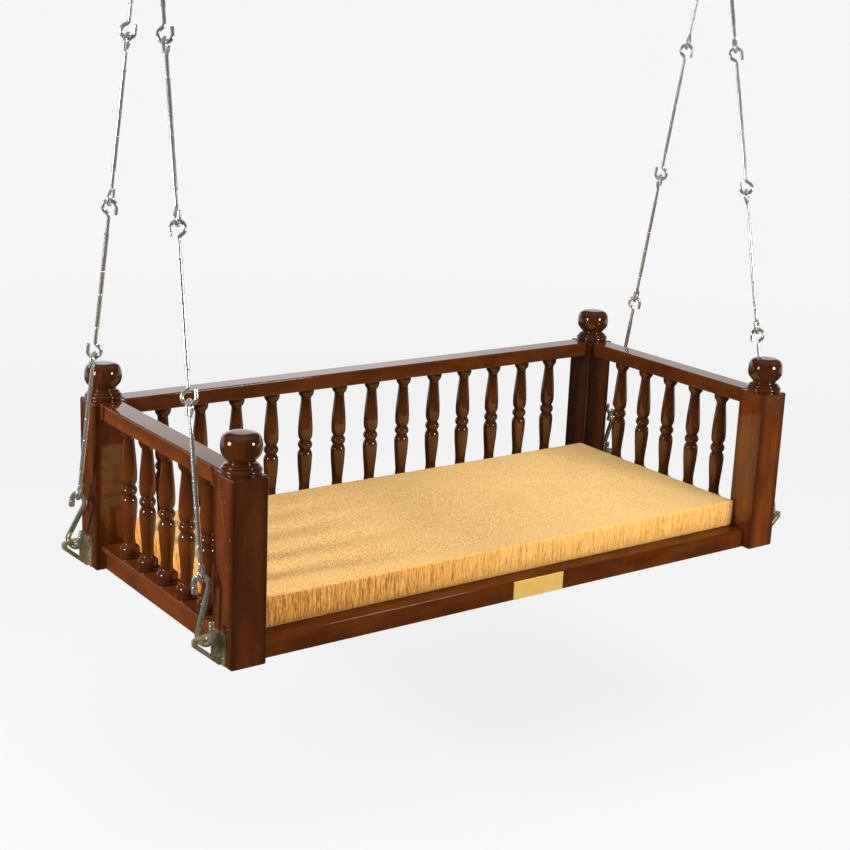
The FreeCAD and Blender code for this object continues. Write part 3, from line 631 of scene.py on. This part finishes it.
class Wire:
    """A wire in the XZ plane that grows from its cut end by runs and bends, in metres."""

    def __init__(self, name, radius, sides, x, z):
        clear_selection()
        cut = radius * CUT_SHARE
        bpy.ops.mesh.primitive_circle_add(vertices=sides, radius=cut, fill_type="NGON", location=(x, 0, z))
        self.piece = bpy.context.object
        self.piece.name = name
        settle(self.piece)
        edit(self.piece)
        self.end = Vector((x, 0, z))
        self.heading = Vector((0, 0, -1))
        self.radius = cut
        self.step(radius - cut, radius)

    def step(self, length, radius=None):
        """Goes straight on, to another radius where one is given."""
        move = self.heading * length
        bpy.ops.mesh.extrude_region_move(TRANSFORM_OT_translate={"value": move})
        self.end = self.end + move
        if radius:
            change = radius / self.radius
            bpy.ops.transform.resize(value=(change, change, change), center_override=self.end)
            self.radius = radius

    def run(self, length):
        """A straight length whose short first and last stretches keep its shading true."""
        for stretch in (EASE, length - 2 * EASE, EASE):
            self.step(stretch)

    def ring(self, width, rise, after=None):
        """A low ring rolled into the wire, which may go on at another radius."""
        crest = max(self.radius, after or 0) * rise
        self.step(width / 4, crest)
        self.step(width / 2)
        self.step(width / 4, after or self.radius / rise)

    def bend(self, radius, degrees):
        """Bends to the left seen from the front where degrees is positive, and to the right where not."""
        side = 1 if degrees > 0 else -1
        centre = self.end + Vector((-self.heading.z, 0, self.heading.x)) * radius * side
        angle = math.radians(degrees)
        steps = max(2, round(abs(degrees) / BEND_DEGREES))
        bpy.ops.mesh.spin(steps=steps, angle=angle, center=centre, axis=(0, 1, 0))
        swing = Matrix.Rotation(-angle, 3, "Y")
        self.end = centre + swing @ (self.end - centre)
        self.heading = swing @ self.heading

    def finish(self):
        self.step(CUT_ROUND, self.radius * CUT_SHARE)
        done_editing()
        face_outwards(self.piece, 1e-6)
        soften(self.piece, 50)
        return self.piece


ROD_PITCH = 0.345
ROD_RADIUS = 0.0040
SHANK_RADIUS = 0.0050
ROD_BEND = 0.014
ROD_NECK = 0.012
ROD_TIP = 0.0154
RING_WIDTH = 0.0026
RING_PLACES = (0.030, 0.106, 0.158, 0.242)
RING_RISE = 1.09
SOLID_WIRE_RADIUS = 0.00415

seat_to_centre = ROD_BEND - SOLID_WIRE_RADIUS
neck_height = seat_to_centre + math.sqrt(ROD_BEND**2 + 2 * ROD_BEND * ROD_NECK)
neck_lean = math.degrees(math.acos(ROD_NECK / (ROD_BEND + ROD_NECK)))
wire = Wire("rod", ROD_RADIUS, 18, ROD_BEND, seat_to_centre + ROD_TIP)
wire.run(ROD_TIP - ROD_RADIUS * (1 - CUT_SHARE))
wire.bend(ROD_BEND, -180 - neck_lean)
wire.bend(ROD_NECK, neck_lean)
shank = ROD_PITCH - 2 * neck_height
so_far = 0
new_radius = {RING_PLACES[0]: SHANK_RADIUS, RING_PLACES[-1]: ROD_RADIUS}
for at in RING_PLACES:
    wire.run(at - so_far)
    wire.ring(RING_WIDTH, RING_RISE, new_radius.get(at))
    so_far = at + RING_WIDTH
wire.run(shank - so_far)
wire.bend(ROD_NECK, -neck_lean)
wire.bend(ROD_BEND, 180 + neck_lean)
wire.run(ROD_TIP - CUT_ROUND)
rod = wire.finish()
print("rod height:", round(rod.dimensions.z, 4), "faces:", len(rod.data.polygons))

# %% [markdown]
# An S-hook is thicker wire with two open hooks and a slanting shank. Each end carries three raised bands with
# two grooves between them, and the rest is plain.

# %% S-hook
HOOK_PITCH = 0.123
HOOK_RADIUS = 0.006
HOOK_BEND = 0.017
HOOK_LOW_TIP = 0.0285
HOOK_TOP_TIP = 0.0204
LOW_BANDS = 0.0175
TOP_BANDS = 0.0135
BAND_SHARE = 0.25
SLOPE_SHARE = 0.04
GROOVE_SHARE = 0.024

hook_centre = HOOK_BEND - HOOK_RADIUS
hook_spread = HOOK_PITCH - 2 * hook_centre
hook_lean = math.degrees(math.asin(2 * HOOK_BEND / hook_spread))


def banded(wire, length):
    """Three bands with two grooves between them, whose parts are shares of this length."""
    crest = HOOK_RADIUS * 1.1
    slope = length * SLOPE_SHARE
    wire.step(slope, crest)
    for groove in (True, True, False):
        wire.run(length * BAND_SHARE)
        if groove:
            wire.step(slope, HOOK_RADIUS * 0.97)
            wire.step(length * GROOVE_SHARE)
            wire.step(slope, crest)
    wire.step(slope, HOOK_RADIUS)


banded_part = 3 * BAND_SHARE + 6 * SLOPE_SHARE + 2 * GROOVE_SHARE
wire = Wire("s_hook", HOOK_RADIUS, 24, HOOK_BEND, hook_centre + HOOK_LOW_TIP)
banded(wire, LOW_BANDS)
wire.run(HOOK_LOW_TIP - HOOK_RADIUS * (1 - CUT_SHARE) - LOW_BANDS * banded_part)
wire.bend(HOOK_BEND, -180 - hook_lean)
wire.run(hook_spread * math.cos(math.radians(hook_lean)))
wire.bend(HOOK_BEND, 180 + hook_lean)
wire.run(HOOK_TOP_TIP - CUT_ROUND - TOP_BANDS * banded_part)
banded(wire, TOP_BANDS)
s_hook = wire.finish()
print("S-hook height:", round(s_hook.dimensions.z, 4), "faces:", len(s_hook.data.polygons))

# %% [markdown]
# A chain is one S-hook and four rods. It starts under its bracket's bar and leans inwards to the swinging
# eye, where the front and rear chains meet. Each link is turned about the chain's own line, so that
# neighbouring hooks cross. The lines and turns are the ones that the solids follow, but two rods are turned
# half round, as the photograph shows them.

# %% Hanging the chains
HOOK_X = 0.798
EYE_X = 0.757
EYE_Y = 0.014
EYE_Z = -0.114
BAR_UNDER = 0.060
BAR_GAP = 0.0009
LINK_GAP = 0.0003
HOOK_TURN = -60
ROD_TURNS = (46, -29)
HALF_ROUND = ("rod_rear_left_2", "rod_front_right_1")
RODS_PER_CHAIN = 4

seat_z = post_low.z


def link_matrix(x_sign, y_sign, degrees, height):
    """Where a link goes: its seat this far up the chain, turned by this about it."""
    foot = Vector((x_sign * HOOK_X, y_sign * post_middle.y, seat_z + BAR_UNDER))
    head = Vector((x_sign * EYE_X, y_sign * EYE_Y, EYE_Z))
    up_chain = (head - foot).normalized()
    inwards = Vector((-x_sign, 0, 0))
    inwards = (inwards - up_chain * inwards.dot(up_chain)).normalized()
    across = inwards.cross(up_chain) * x_sign
    angle = math.radians(degrees)
    reach = inwards * math.cos(angle) + across * math.sin(angle)
    axes = Matrix((reach, up_chain.cross(reach), up_chain)).transposed().to_4x4()
    return Matrix.Translation(foot + up_chain * height) @ axes


for end, side in corners:
    signs = (-1 if side == "left" else 1, -1 if end == "front" else 1)
    body = f"chains_{side}"
    node = f"s_hook_{end}_{side}"
    link = copied(s_hook, link_matrix(*signs, HOOK_TURN, -BAR_GAP))
    link.name = f"{node}_wire"
    hand_over(link, body, "hook_steel", hook_metal, node)
    height = HOOK_PITCH - BAR_GAP - LINK_GAP
    for i in range(RODS_PER_CHAIN):
        node = f"rod_{end}_{side}_{i + 1}"
        turn = ROD_TURNS[i % 2] + (180 if node in HALF_ROUND else 0)
        link = copied(rod, link_matrix(*signs, turn, height))
        link.name = f"{node}_wire"
        hand_over(link, body, "rod_steel", rod_metal, node)
        height += ROD_PITCH - LINK_GAP
discard(rod)
discard(s_hook)
print("chains hung:", len(corners))

# %% [markdown]
# The brackets and the ceiling fittings are castings and flame-cut steel. Their outlines are right in the
# solids, but a real casting has no sharp edge. So each is a copy of the solid, merged, with its flat faces
# made whole again, and then bevelled along every sharp edge.


# %% Brackets and ceiling fittings
def rounded_copy(node, name, radius, sharp=25):
    """A copy of a solid whose edges sharper than this many degrees are rounded."""
    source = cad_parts[node]
    piece = bpy.data.objects.new(name, source.data.copy())
    bpy.context.scene.collection.objects.link(piece)
    edit(piece)
    bpy.ops.mesh.remove_doubles(threshold=1e-6)
    bpy.ops.mesh.dissolve_limited(angle_limit=math.radians(0.5))
    bpy.ops.mesh.normals_make_consistent(inside=False)
    done_editing()
    applied(piece, "BEVEL", width=radius, segments=3, limit_method="ANGLE", angle_limit=math.radians(sharp))
    soften(piece, 35)
    flat_faces_true(piece)
    return piece


CAST_ROUND = 0.0014
PLATE_ROUND = 0.0008
PIN_ROUND = 0.0006
for end, side in corners:
    node = f"bracket_{end}_{side}"
    casting = rounded_copy(node, f"{node}_casting", CAST_ROUND)
    hand_over(casting, "seat", "bracket_nickel", cast_metal, node)
for side in ("left", "right"):
    node = f"swing_eye_{side}"
    forging = rounded_copy(node, f"{node}_forging", CAST_ROUND)
    hand_over(forging, f"eye_{side}", "ceiling_steel", ceiling_metal, node)
plates = rounded_copy("ceiling_plates", "ceiling_plates_steel", PLATE_ROUND)
hand_over(plates, "ceiling", "ceiling_steel", ceiling_metal, "ceiling_plates")
pins = rounded_copy("pivot_pins", "pivot_pins_steel", PIN_ROUND, 40)
hand_over(pins, "ceiling", "ceiling_steel", rod_metal, "pivot_pins")
print("castings made")

# %% [markdown]
# Four dome-headed screws hold each bracket. One head is turned, two crossed slots are cut into it, and it is
# copied to its sixteen places, which the brackets' boxes give. The slots point another way in each.

# %% Bracket screws
SCREW_MARGIN = 0.007
PLATE_DEPTH = 0.004
SLOT_LOW = Vector((-0.0026, -0.00045, 0.0010))
SLOT_HIGH = Vector((0.0026, 0.00045, 0.0026))
SCREW_LINE = [(0, 4.4), (0.4, 4.5), (1.0, 4.1), (1.6, 3.0), (1.95, 1.6), (2.0, 0.6)]
screw = turned("screw", SCREW_LINE, 2, 20)
slot_cutter = block("slot_cutter", SLOT_LOW, SLOT_HIGH)
cross_cutter = copied(slot_cutter, Matrix.Rotation(math.pi / 2, 4, "Z"))
for cutter in (slot_cutter, cross_cutter):
    applied(screw, "BOOLEAN", operation="DIFFERENCE", object=cutter)
    discard(cutter)
heads = []
for end, side in corners:
    low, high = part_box(f"bracket_{end}_{side}")
    x_sign = -1 if side == "left" else 1
    x = (high.x if side == "left" else low.x) + x_sign * PLATE_DEPTH
    for y in (low.y + SCREW_MARGIN, high.y - SCREW_MARGIN):
        for z in (low.z + 2 * SCREW_MARGIN, high.z - SCREW_MARGIN):
            slot_turn = Matrix.Rotation(x * 40 + y * 90 + z * 70, 4, "Z")
            facing = Matrix.Rotation(math.pi / 2 * x_sign, 4, "Y") @ slot_turn
            heads.append(copied(screw, Matrix.Translation((x, y, z)) @ facing))
screws = gathered("bracket_screws_heads", heads)
hand_over(screws, "seat", "screw_steel", screw_metal, "bracket_screws")
discard(screw)
print("screw heads:", len(heads))

# %% [markdown]
# A small brass plate sits on the front rail, right of the middle. It is a plain sheet with a bevelled rim,
# brushed along its length, and stays bare. The face is inset and sunk a little, so the rim reads as an edge.

# %% Brass plate
PLATE_BEVEL = 0.0007
PLATE_RIM = 0.0016
PLATE_SUNK = 0.0003
plate = block("front_plate_brass", *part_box("front_plate"))
round_edges(plate, PLATE_BEVEL, 3)
bpy.ops.mesh.select_all(action="DESELECT")
done_editing()
for face in plate.data.polygons:
    face.select = face.normal.y < -0.99 and face.area > 0.001
bpy.ops.object.mode_set(mode="EDIT")
bpy.ops.mesh.inset(thickness=PLATE_RIM)
bpy.ops.mesh.inset(thickness=PLATE_SUNK, depth=-PLATE_SUNK)
done_editing()
soften(plate, 30)

brass = Finish("brushed_brass", Metallic=0.45)
place = brass.place()
brushed = brass.streaks(place, (40, 900, 2600), 3)
haze = brass.between(brass.cloud(place, 34, 4, 0.6), 0.35, 0.7)
brass.set(
    Base_Color=brass.mixed(haze * 0.5, (0.96, 0.62, 0.15), (0.84, 0.50, 0.11)),
    Roughness=0.38 + brushed * 0.16 + haze * 0.06,
    Normal=brass.bumped(brushed, 0.00006),
)
hand_over(plate, "seat", "plate_brass", brass, "front_plate")
print("plate", [round(v, 3) for v in plate.dimensions])

# %% [markdown]
# The mattress is a firm foam slab in a woven cover. The slab is a grid that is shaped in code: crisp edges,
# sides drawn in a little between the corners, a low crown and shallow unevenness. Foam this firm keeps its
# form, so no cloth has to be simulated.

# %% Mattress slab
pad_low, pad_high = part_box("mattress")
PAD_CELL = 0.0062
PAD_ROUND = 0.0030
PAD_CORNER = 0.0050
PAD_CROWN = 0.0025
PAD_DRAW = 0.0014
PAD_LUMPS = 0.0011
SEAM_INSET = 0.0018

pad_centre = (pad_low + pad_high) / 2
pad_half = (pad_high - pad_low) / 2


def noise_at(x, y, z):
    """A smooth random value at this place, between about -1 and 1."""
    return noise_field.noise(Vector((x, y, z)))


def rounded_place(x, y, inset):
    """A point of a rectangle about the centre, brought in at the corners and between them."""
    half_x = pad_half.x - inset
    half_y = pad_half.y - inset
    px, py = x * half_x, y * half_y
    px -= math.copysign(PAD_DRAW * (1 - y * y) * abs(x) ** 12, x)
    py -= math.copysign(PAD_DRAW * (1 - x * x) * abs(y) ** 12, y)
    corner = max(PAD_CORNER - inset, 0.001)
    over_x = max(abs(px) - (half_x - corner), 0)
    over_y = max(abs(py) - (half_y - corner), 0)
    if over_x > 0 and over_y > 0:
        share = max(over_x, over_y) / math.hypot(over_x, over_y)
        px -= math.copysign(over_x * (1 - share), px)
        py -= math.copysign(over_y * (1 - share), py)
    return px, py


def cover_height(px, py):
    """The top of the cover, without its rounded edge."""
    nx, ny = px / pad_half.x, py / pad_half.y
    crown = PAD_CROWN * (1 - nx**8) * (1 - ny**4)
    lumps = noise_at(px * 5.0, py * 5.0, 7.7) * PAD_LUMPS
    return crown + lumps * (1 - nx**6) * (1 - ny**6)


count_x = 2 * round(pad_half.x / PAD_CELL)
count_y = 2 * round(pad_half.y / PAD_CELL)
points = []
faces = []


def pad_ring(inset, height):
    """One closed ring of points round the slab, at this inset and height."""
    ring = []
    stops = [(2 * i / count_x - 1, -1) for i in range(count_x)]
    stops += [(1, 2 * i / count_y - 1) for i in range(count_y)]
    stops += [(-x, -y) for x, y in stops]
    for x, y in stops:
        px, py = rounded_place(x, y, inset)
        ring.append(len(points))
        points.append((px + pad_centre.x, py + pad_centre.y, height))
    return ring


def pad_sheet(inset, height, top):
    """A grid across the slab. It returns its border, in the order that pad_ring gives."""
    rows = []
    for j in range(count_y + 1):
        row = []
        for i in range(count_x + 1):
            px, py = rounded_place(2 * i / count_x - 1, 2 * j / count_y - 1, inset)
            row.append(len(points))
            lift = cover_height(px, py) if top else 0
            points.append((px + pad_centre.x, py + pad_centre.y, height + lift))
        rows.append(row)
    for low_row, high_row in zip(rows, rows[1:]):
        for i in range(count_x):
            quad = (low_row[i], low_row[i + 1], high_row[i + 1], high_row[i])
            faces.append(quad if top else quad[::-1])
    front_and_right = rows[0][:-1] + [row[-1] for row in rows[:-1]]
    return front_and_right + rows[-1][:0:-1] + [row[0] for row in rows[:0:-1]]


rings = [pad_sheet(PAD_ROUND * 1.1, pad_low.z, False)]
for share in (0.35, 0.75, 1.0):
    angle = share * math.pi / 2
    inset = SEAM_INSET + PAD_ROUND * (1 - math.sin(angle))
    rings.append(pad_ring(inset, pad_low.z + PAD_ROUND * (1 - math.cos(angle))))
for share in (0.0, 0.3, 0.6, 0.85):
    angle = share * math.pi / 2
    inset = SEAM_INSET + PAD_ROUND * (1 - math.cos(angle))
    rings.append(pad_ring(inset, pad_high.z - PAD_ROUND * (1 - math.sin(angle))))
rings.append(pad_sheet(SEAM_INSET + PAD_ROUND, pad_high.z, True))
for low_ring, high_ring in zip(rings, rings[1:]):
    for i in range(len(low_ring)):
        j = (i + 1) % len(low_ring)
        faces.append((low_ring[i], low_ring[j], high_ring[j], high_ring[i]))
pad = from_points("mattress_slab", points, faces)
print("slab faces:", len(faces))

# %% [markdown]
# The border is its own strip round the slab, with thick upright yarns. Each is a rib in the mesh, and they
# wander, lean and differ in thickness. Along the top they turn in over the edge. The strip carries a UV map
# that follows it and an attribute that says how far each point stands out, so that the grooves can get
# painted shade.

# %% Mattress border
YARN_PITCH = 0.0046
POINTS_PER_YARN = 5
YARN_RISE = 0.0013
STRIP_INSET = 0.0002
STRIP_WALL = 0.0007
strip_half = (pad_half.x - STRIP_INSET, pad_half.y - STRIP_INSET)
corner_length = math.pi / 2 * PAD_CORNER
strip_length = 4 * (sum(strip_half) - 2 * PAD_CORNER + corner_length)


def outline_stops():
    """Places and outward directions round the strip, evenly spaced, each with its distance so far."""
    count = round(strip_length / YARN_PITCH) * POINTS_PER_YARN
    for k in range(count):
        start = strip_length * k / count
        s = start
        for side in range(4):
            half_run, half_out = strip_half[side % 2], strip_half[1 - side % 2]
            straight = 2 * (half_run - PAD_CORNER)
            if s < straight:
                bulge = PAD_DRAW * (1 - (2 * s / straight - 1) ** 2)
                normal = Vector((0, -1, 0))
                flat = Vector((s - straight / 2, bulge - half_out, 0))
                break
            s -= straight
            if s < corner_length:
                bend = s / PAD_CORNER
                normal = Vector((math.sin(bend), -math.cos(bend), 0))
                flat = Vector((half_run - PAD_CORNER, PAD_CORNER - half_out, 0)) + normal * PAD_CORNER
                break
            s -= corner_length
        spin = Matrix.Rotation(side * math.pi / 2, 3, "Z")
        yield spin @ flat, spin @ normal, start


strip_height = pad_high.z - pad_low.z
# Each row's distance from the lower or the upper edge, and how far it is drawn in.
LOW_ROWS = [(0.0003, 0.0030), (0.0014, 0.0010), (0.0045, 0.0003), (0.0120, 0), (0.0210, 0), (0.0300, 0)]
HIGH_ROWS = [
    (0.0250, 0), (0.0160, 0), (0.0080, 0), (0.0038, 0.0001), (0.0014, 0.0006), (0.0002, 0.0019), (0, 0.0044),
]
strip_rows = LOW_ROWS + [(strip_height - z, inset) for z, inset in HIGH_ROWS]
strip_points = []
strip_uv = []
rib_for_groove_shade = []
for z, inset in strip_rows:
    for flat, normal, start in outline_stops():
        phase = start / YARN_PITCH + noise_at(start * 44, z * 40, 4.0) * 1.3
        own = noise_at(math.floor(phase) * 0.77, 0.0, 3.0)
        knots = noise_at(start * 160, z * 70, 8.0)
        rib = abs(math.sin(math.pi * phase)) ** 0.7 * (0.68 + 0.5 * own) + 0.40 * knots
        rib = min(1.0, max(0.0, rib))
        ends = min(1.0, 0.35 + z / 0.006, 0.45 + (strip_height - z) / 0.003)
        unevenness = noise_at(start * 9, z * 40, 1.0) * 0.0005
        place = flat + normal * (YARN_RISE * (rib * ends - 1) + unevenness - inset)
        ragged = noise_at(start * 190, 0.0, 9.0) * 0.0009 * max(0.0, 1 - z / 0.004)
        height = pad_low.z + max(z + ragged, 0)
        strip_points.append((place.x + pad_centre.x, place.y + pad_centre.y, height))
        strip_uv.append((start, z))
        rib_for_groove_shade.append(rib)
ring_size = len(strip_points) // len(strip_rows)
strip_faces = []
for base in range(0, ring_size * (len(strip_rows) - 1), ring_size):
    for k in range(ring_size):
        j = (k + 1) % ring_size
        strip_faces.append((base + k, base + j, base + ring_size + j, base + ring_size + k))
border = from_points("mattress_border", strip_points, strip_faces)
strip_map = border.data.uv_layers.new(name="strip")
for face in border.data.polygons:
    closes_ring = face.index % ring_size == ring_size - 1
    for loop in face.loop_indices:
        u, v = strip_uv[border.data.loops[loop].vertex_index]
        strip_map.data[loop].uv = (u + strip_length if closes_ring and u == 0 else u, v)
border.data.attributes.new("rib", "FLOAT", "POINT").data.foreach_set("value", rib_for_groove_shade)
applied(border, "SOLIDIFY", thickness=STRIP_WALL, offset=-1)
print("border faces:", len(border.data.polygons))

# %% [markdown]
# The cover is golden chenille. On the top, short threads cross in a close weave, so from a distance it is a
# finely speckled gold, with painted light that brightens it towards the right. On the border each yarn has
# its own gold, with paler hairs and deeper tufts, and painted shade in the grooves and towards the left end.
# Both are rough, with the soft sheen of short pile.

# %% Chenille finishes
GOLD_PALE = (0.90, 0.61, 0.245)
GOLD_BODY = (0.79, 0.48, 0.16)
GOLD_DARK = (0.47, 0.225, 0.045)
YARN_PALE = (1.0, 0.66, 0.21)
YARN_BODY = (0.90, 0.43, 0.080)
YARN_DARK = (0.32, 0.098, 0.009)
RIB_PITCH = 0.0036
PICK_PITCH = 0.0042
PILE = {"Sheen_Roughness": 0.45, "Sheen_Tint": (1.0, 0.84, 0.56, 1)}

weave = Finish("chenille_top", Roughness=0.86, Sheen_Weight=0.10, **PILE)
place = weave.place()
x, y, z = weave.parts(place)
wobble = weave.cloud(place, 90, 2) * 3.0
ribs = (x * (2 * math.pi / RIB_PITCH) + wobble).wave() * 0.5 + 0.5
picks = (y * (2 * math.pi / PICK_PITCH) + wobble * 1.7).wave() * 0.5 + 0.5
threads = ribs * picks
speckle = weave.streaks(place, (520, 360, 450), 1, 0.6)
patch = weave.cloud(place, 9, 3)
# Painted light: the top's tone rises towards the right end.
across = weave.between(x, -0.6, 0) * 0.09 + weave.between(x, 0, 0.6) * 0.09
tone = weave.between(speckle, 0.40, 0.60) * 0.58 + threads * 0.22 + patch * 0.20 + across - 0.04
fleck = weave.between(weave.streaks(place, (300, 520, 300), 2, 0.6), 0.58, 0.72)
colour = weave.ramp(tone, (0.10, GOLD_DARK), (0.48, GOLD_BODY), (0.90, GOLD_PALE))
weave.set(
    Base_Color=weave.mixed(fleck * 0.35, colour, GOLD_DARK),
    Normal=weave.bumped(threads * 0.6 + speckle * 0.6, 0.0008, 0.7),
)

yarns = Finish("chenille_border", Roughness=0.88, Sheen_Weight=0.05, **PILE)
strip = yarns.add("ShaderNodeUVMap", {"uv_map": "strip"}, [])
rib = yarns.add("ShaderNodeAttribute", {"attribute_name": "rib"}, [], "Fac")
own_gold = yarns.streaks(strip, (430, 14, 0), 2, 0.6)
hairs = yarns.streaks(strip, (900, 50, 0), 3, 0.65)
tufts = yarns.between(yarns.streaks(strip, (520, 90, 0), 2), 0.52, 0.68)
x, y, z = yarns.parts(yarns.place())
# Painted shade: the border's tone falls towards its left end.
painted_shade_left_end = yarns.between(x, -0.70, 0.20) * 0.26 - 0.16
# Low rib values, the grooves between yarns, get painted shade.
tone = rib * 0.26 + yarns.between(own_gold, 0.34, 0.66) * 0.36 + yarns.between(hairs, 0.3, 0.7) * 0.34
tone = tone + painted_shade_left_end - tufts * 0.15
colour = yarns.ramp(tone, (0.12, YARN_DARK), (0.46, YARN_BODY), (0.86, YARN_PALE))
yarns.set(Base_Color=colour, Normal=yarns.bumped(hairs * 0.8 - tufts * 0.5, 0.0010, 0.8))
hand_over(pad, "seat", "mattress_fabric", weave, "mattress")
hand_over(border, "seat", "mattress_fabric", yarns, "mattress")
print("cover finished")

# %% [markdown]
# The studio is plain: a pale floor a seat's height below, a pale surround and soft lamps. Lacquer and wire
# show what stands around them, so glossy rays see a white backdrop behind the seat and a dim room elsewhere.
# The camera sees an even, nearly white ground with a faint shadow. The floor's own shading fades out away
# from the seat, so that floor and surround meet without a line.

# %% Floor and surround
GROUND = 0.92
FLOOR_DROP = 0.42
FLOOR_SIDE = 60
FLOOR_FADE = (2.2, 6.5)
SHADOW_SHARE = 0.12
BEHIND = (0.58, 0.81, 0)
ROOM_DIM = 0.045
BACKDROP = 0.95
BACKDROP_FROM = (3.5, 4.5)
BACKDROP_SIDE = (0.35, 0.85)
BACKDROP_TOP = (0.215, 0.33)
WINDOW = 0.6
WINDOW_SIDE = (0.74, 0.86)
WINDOW_TOP = (0.29, 0.40)
CEILING = 0.22
CEILING_FROM = (0.45, 0.95)
SIDE_FILL = 0.30
SKY_FILL = 0.40


def light_rays(recipe):
    """Two values: 1 for a camera ray, also through glass, and 1 for a glossy ray."""
    rays = recipe.add("ShaderNodeLightPath", {}, []).socket.node
    named = [Value(recipe, rays.outputs[f"Is {kind} Ray"]) for kind in ("Camera", "Transmission", "Glossy")]
    return named[0].greater(named[1]), named[2]


def behind(recipe, place):
    """How far a place lies in the direction that the camera faces."""
    return recipe.add("ShaderNodeVectorMath", {"operation": "DOT_PRODUCT"}, [place, BEHIND], "Value")


clear_selection()
bpy.ops.mesh.primitive_plane_add(size=FLOOR_SIDE, location=(0, 0, seat_z - FLOOR_DROP))
floor = bpy.context.object
floor.name = "studio_floor"
settle(floor)
pale = Finish("pale_floor", Roughness=0.9, Specular_IOR_Level=0.1)
place = pale.place()
x, y, z = pale.parts(place)
away = (x * x + y * y) ** 0.5
pale.set(Base_Color=pale.mixed(pale.cloud(place, 0.6, 2) * 0.1, (0.78, 0.78, 0.78), (0.75, 0.75, 0.75)))
seen, glossy = light_rays(pale)
faced = behind(pale, place) / away.greater(0.1)
backdrop = pale.between(away, *BACKDROP_FROM) * pale.between(faced, -0.2, 0.4)
level = seen * GROUND + (1 - seen) * (glossy * (backdrop * (BACKDROP - ROOM_DIM) + ROOM_DIM))
even = pale.add("ShaderNodeEmission", {}, {"Color": (1, 1, 1, 1), "Strength": level})
near = 1 - pale.between(away, *FLOOR_FADE)
own_shading = seen * near * SHADOW_SHARE + (1 - seen) * (1 - glossy)
lit = Value(pale, pale.shader.outputs[0])
surface = pale.add("ShaderNodeMixShader", {}, [own_shading, even, lit])
pale.fill(pale.tree.nodes["Material Output"].inputs["Surface"], surface)
floor.data.materials.append(pale.material)

world = bpy.data.worlds.new("studio_surround")
bpy.context.scene.world = world
world.use_nodes = True
surround = Recipe(world.node_tree)
seen, glossy = light_rays(surround)
direction = surround.add("ShaderNodeTexCoord", {}, [], "Generated")
x, y, z = surround.parts(direction)
spread = ((x * x + y * y) ** 0.5).greater(0.01)
window = surround.between(y / spread, *WINDOW_SIDE) * (1 - surround.between(z, *WINDOW_TOP)) * WINDOW
backdrop = surround.between(behind(surround, direction) / spread, *BACKDROP_SIDE)
backdrop = backdrop * (1 - surround.between(z, *BACKDROP_TOP))
ceiling = surround.between(z, *CEILING_FROM) * CEILING
shown = backdrop * (BACKDROP - ROOM_DIM) + window + ROOM_DIM + ceiling
fill = z.greater(0) * SKY_FILL + SIDE_FILL
level = seen * GROUND + (1 - seen) * (glossy * shown + (1 - glossy) * fill)
background = world.node_tree.nodes["Background"]
surround.fill(background.inputs["Color"], (1, 1, 1, 1))
surround.fill(background.inputs["Strength"], level)
print("floor at", round(seat_z - FLOOR_DROP, 3))

# %% [markdown]
# The lacquer shows two of the lamps: one far to the left and one in front at the right, both somewhat higher
# than the finials. The other two only light the seat. The small one near the left lamp throws the spindles'
# shadows across the mattress, and the wide one hangs overhead.

# %% Lamps
AIM_HEIGHT = 0.2


def soft_lamp(name, place, side, watts, shows=True):
    """A square lamp at this place that faces the middle of the seat, and may show in glossy surfaces."""
    aim = Vector((0, 0, seat_z + AIM_HEIGHT))
    clear_selection()
    bpy.ops.object.light_add(type="AREA", location=place)
    lamp = bpy.context.object
    lamp.name = name
    lamp.rotation_euler = (Vector(place) - aim).to_track_quat("Z", "Y").to_euler()
    lamp.data.shape = "SQUARE"
    lamp.data.size = side
    lamp.data.energy = watts
    lamp.visible_glossy = shows


soft_lamp("left_lamp", (-2.70, 0.0, -0.86), 0.65, 25)
soft_lamp("right_lamp", (1.25, -2.70, -0.75), 0.6, 42)
soft_lamp("left_core_lamp", (-2.55, -0.05, -0.58), 0.25, 40, shows=False)
soft_lamp("overhead_lamp", (1.1, -0.5, 0.8), 1.8, 36, shows=False)

bpy.context.scene.view_settings.view_transform = "Standard"

# %% [markdown]
# Last, nothing is left selected.

# %% Clear the selection
clear_selection()
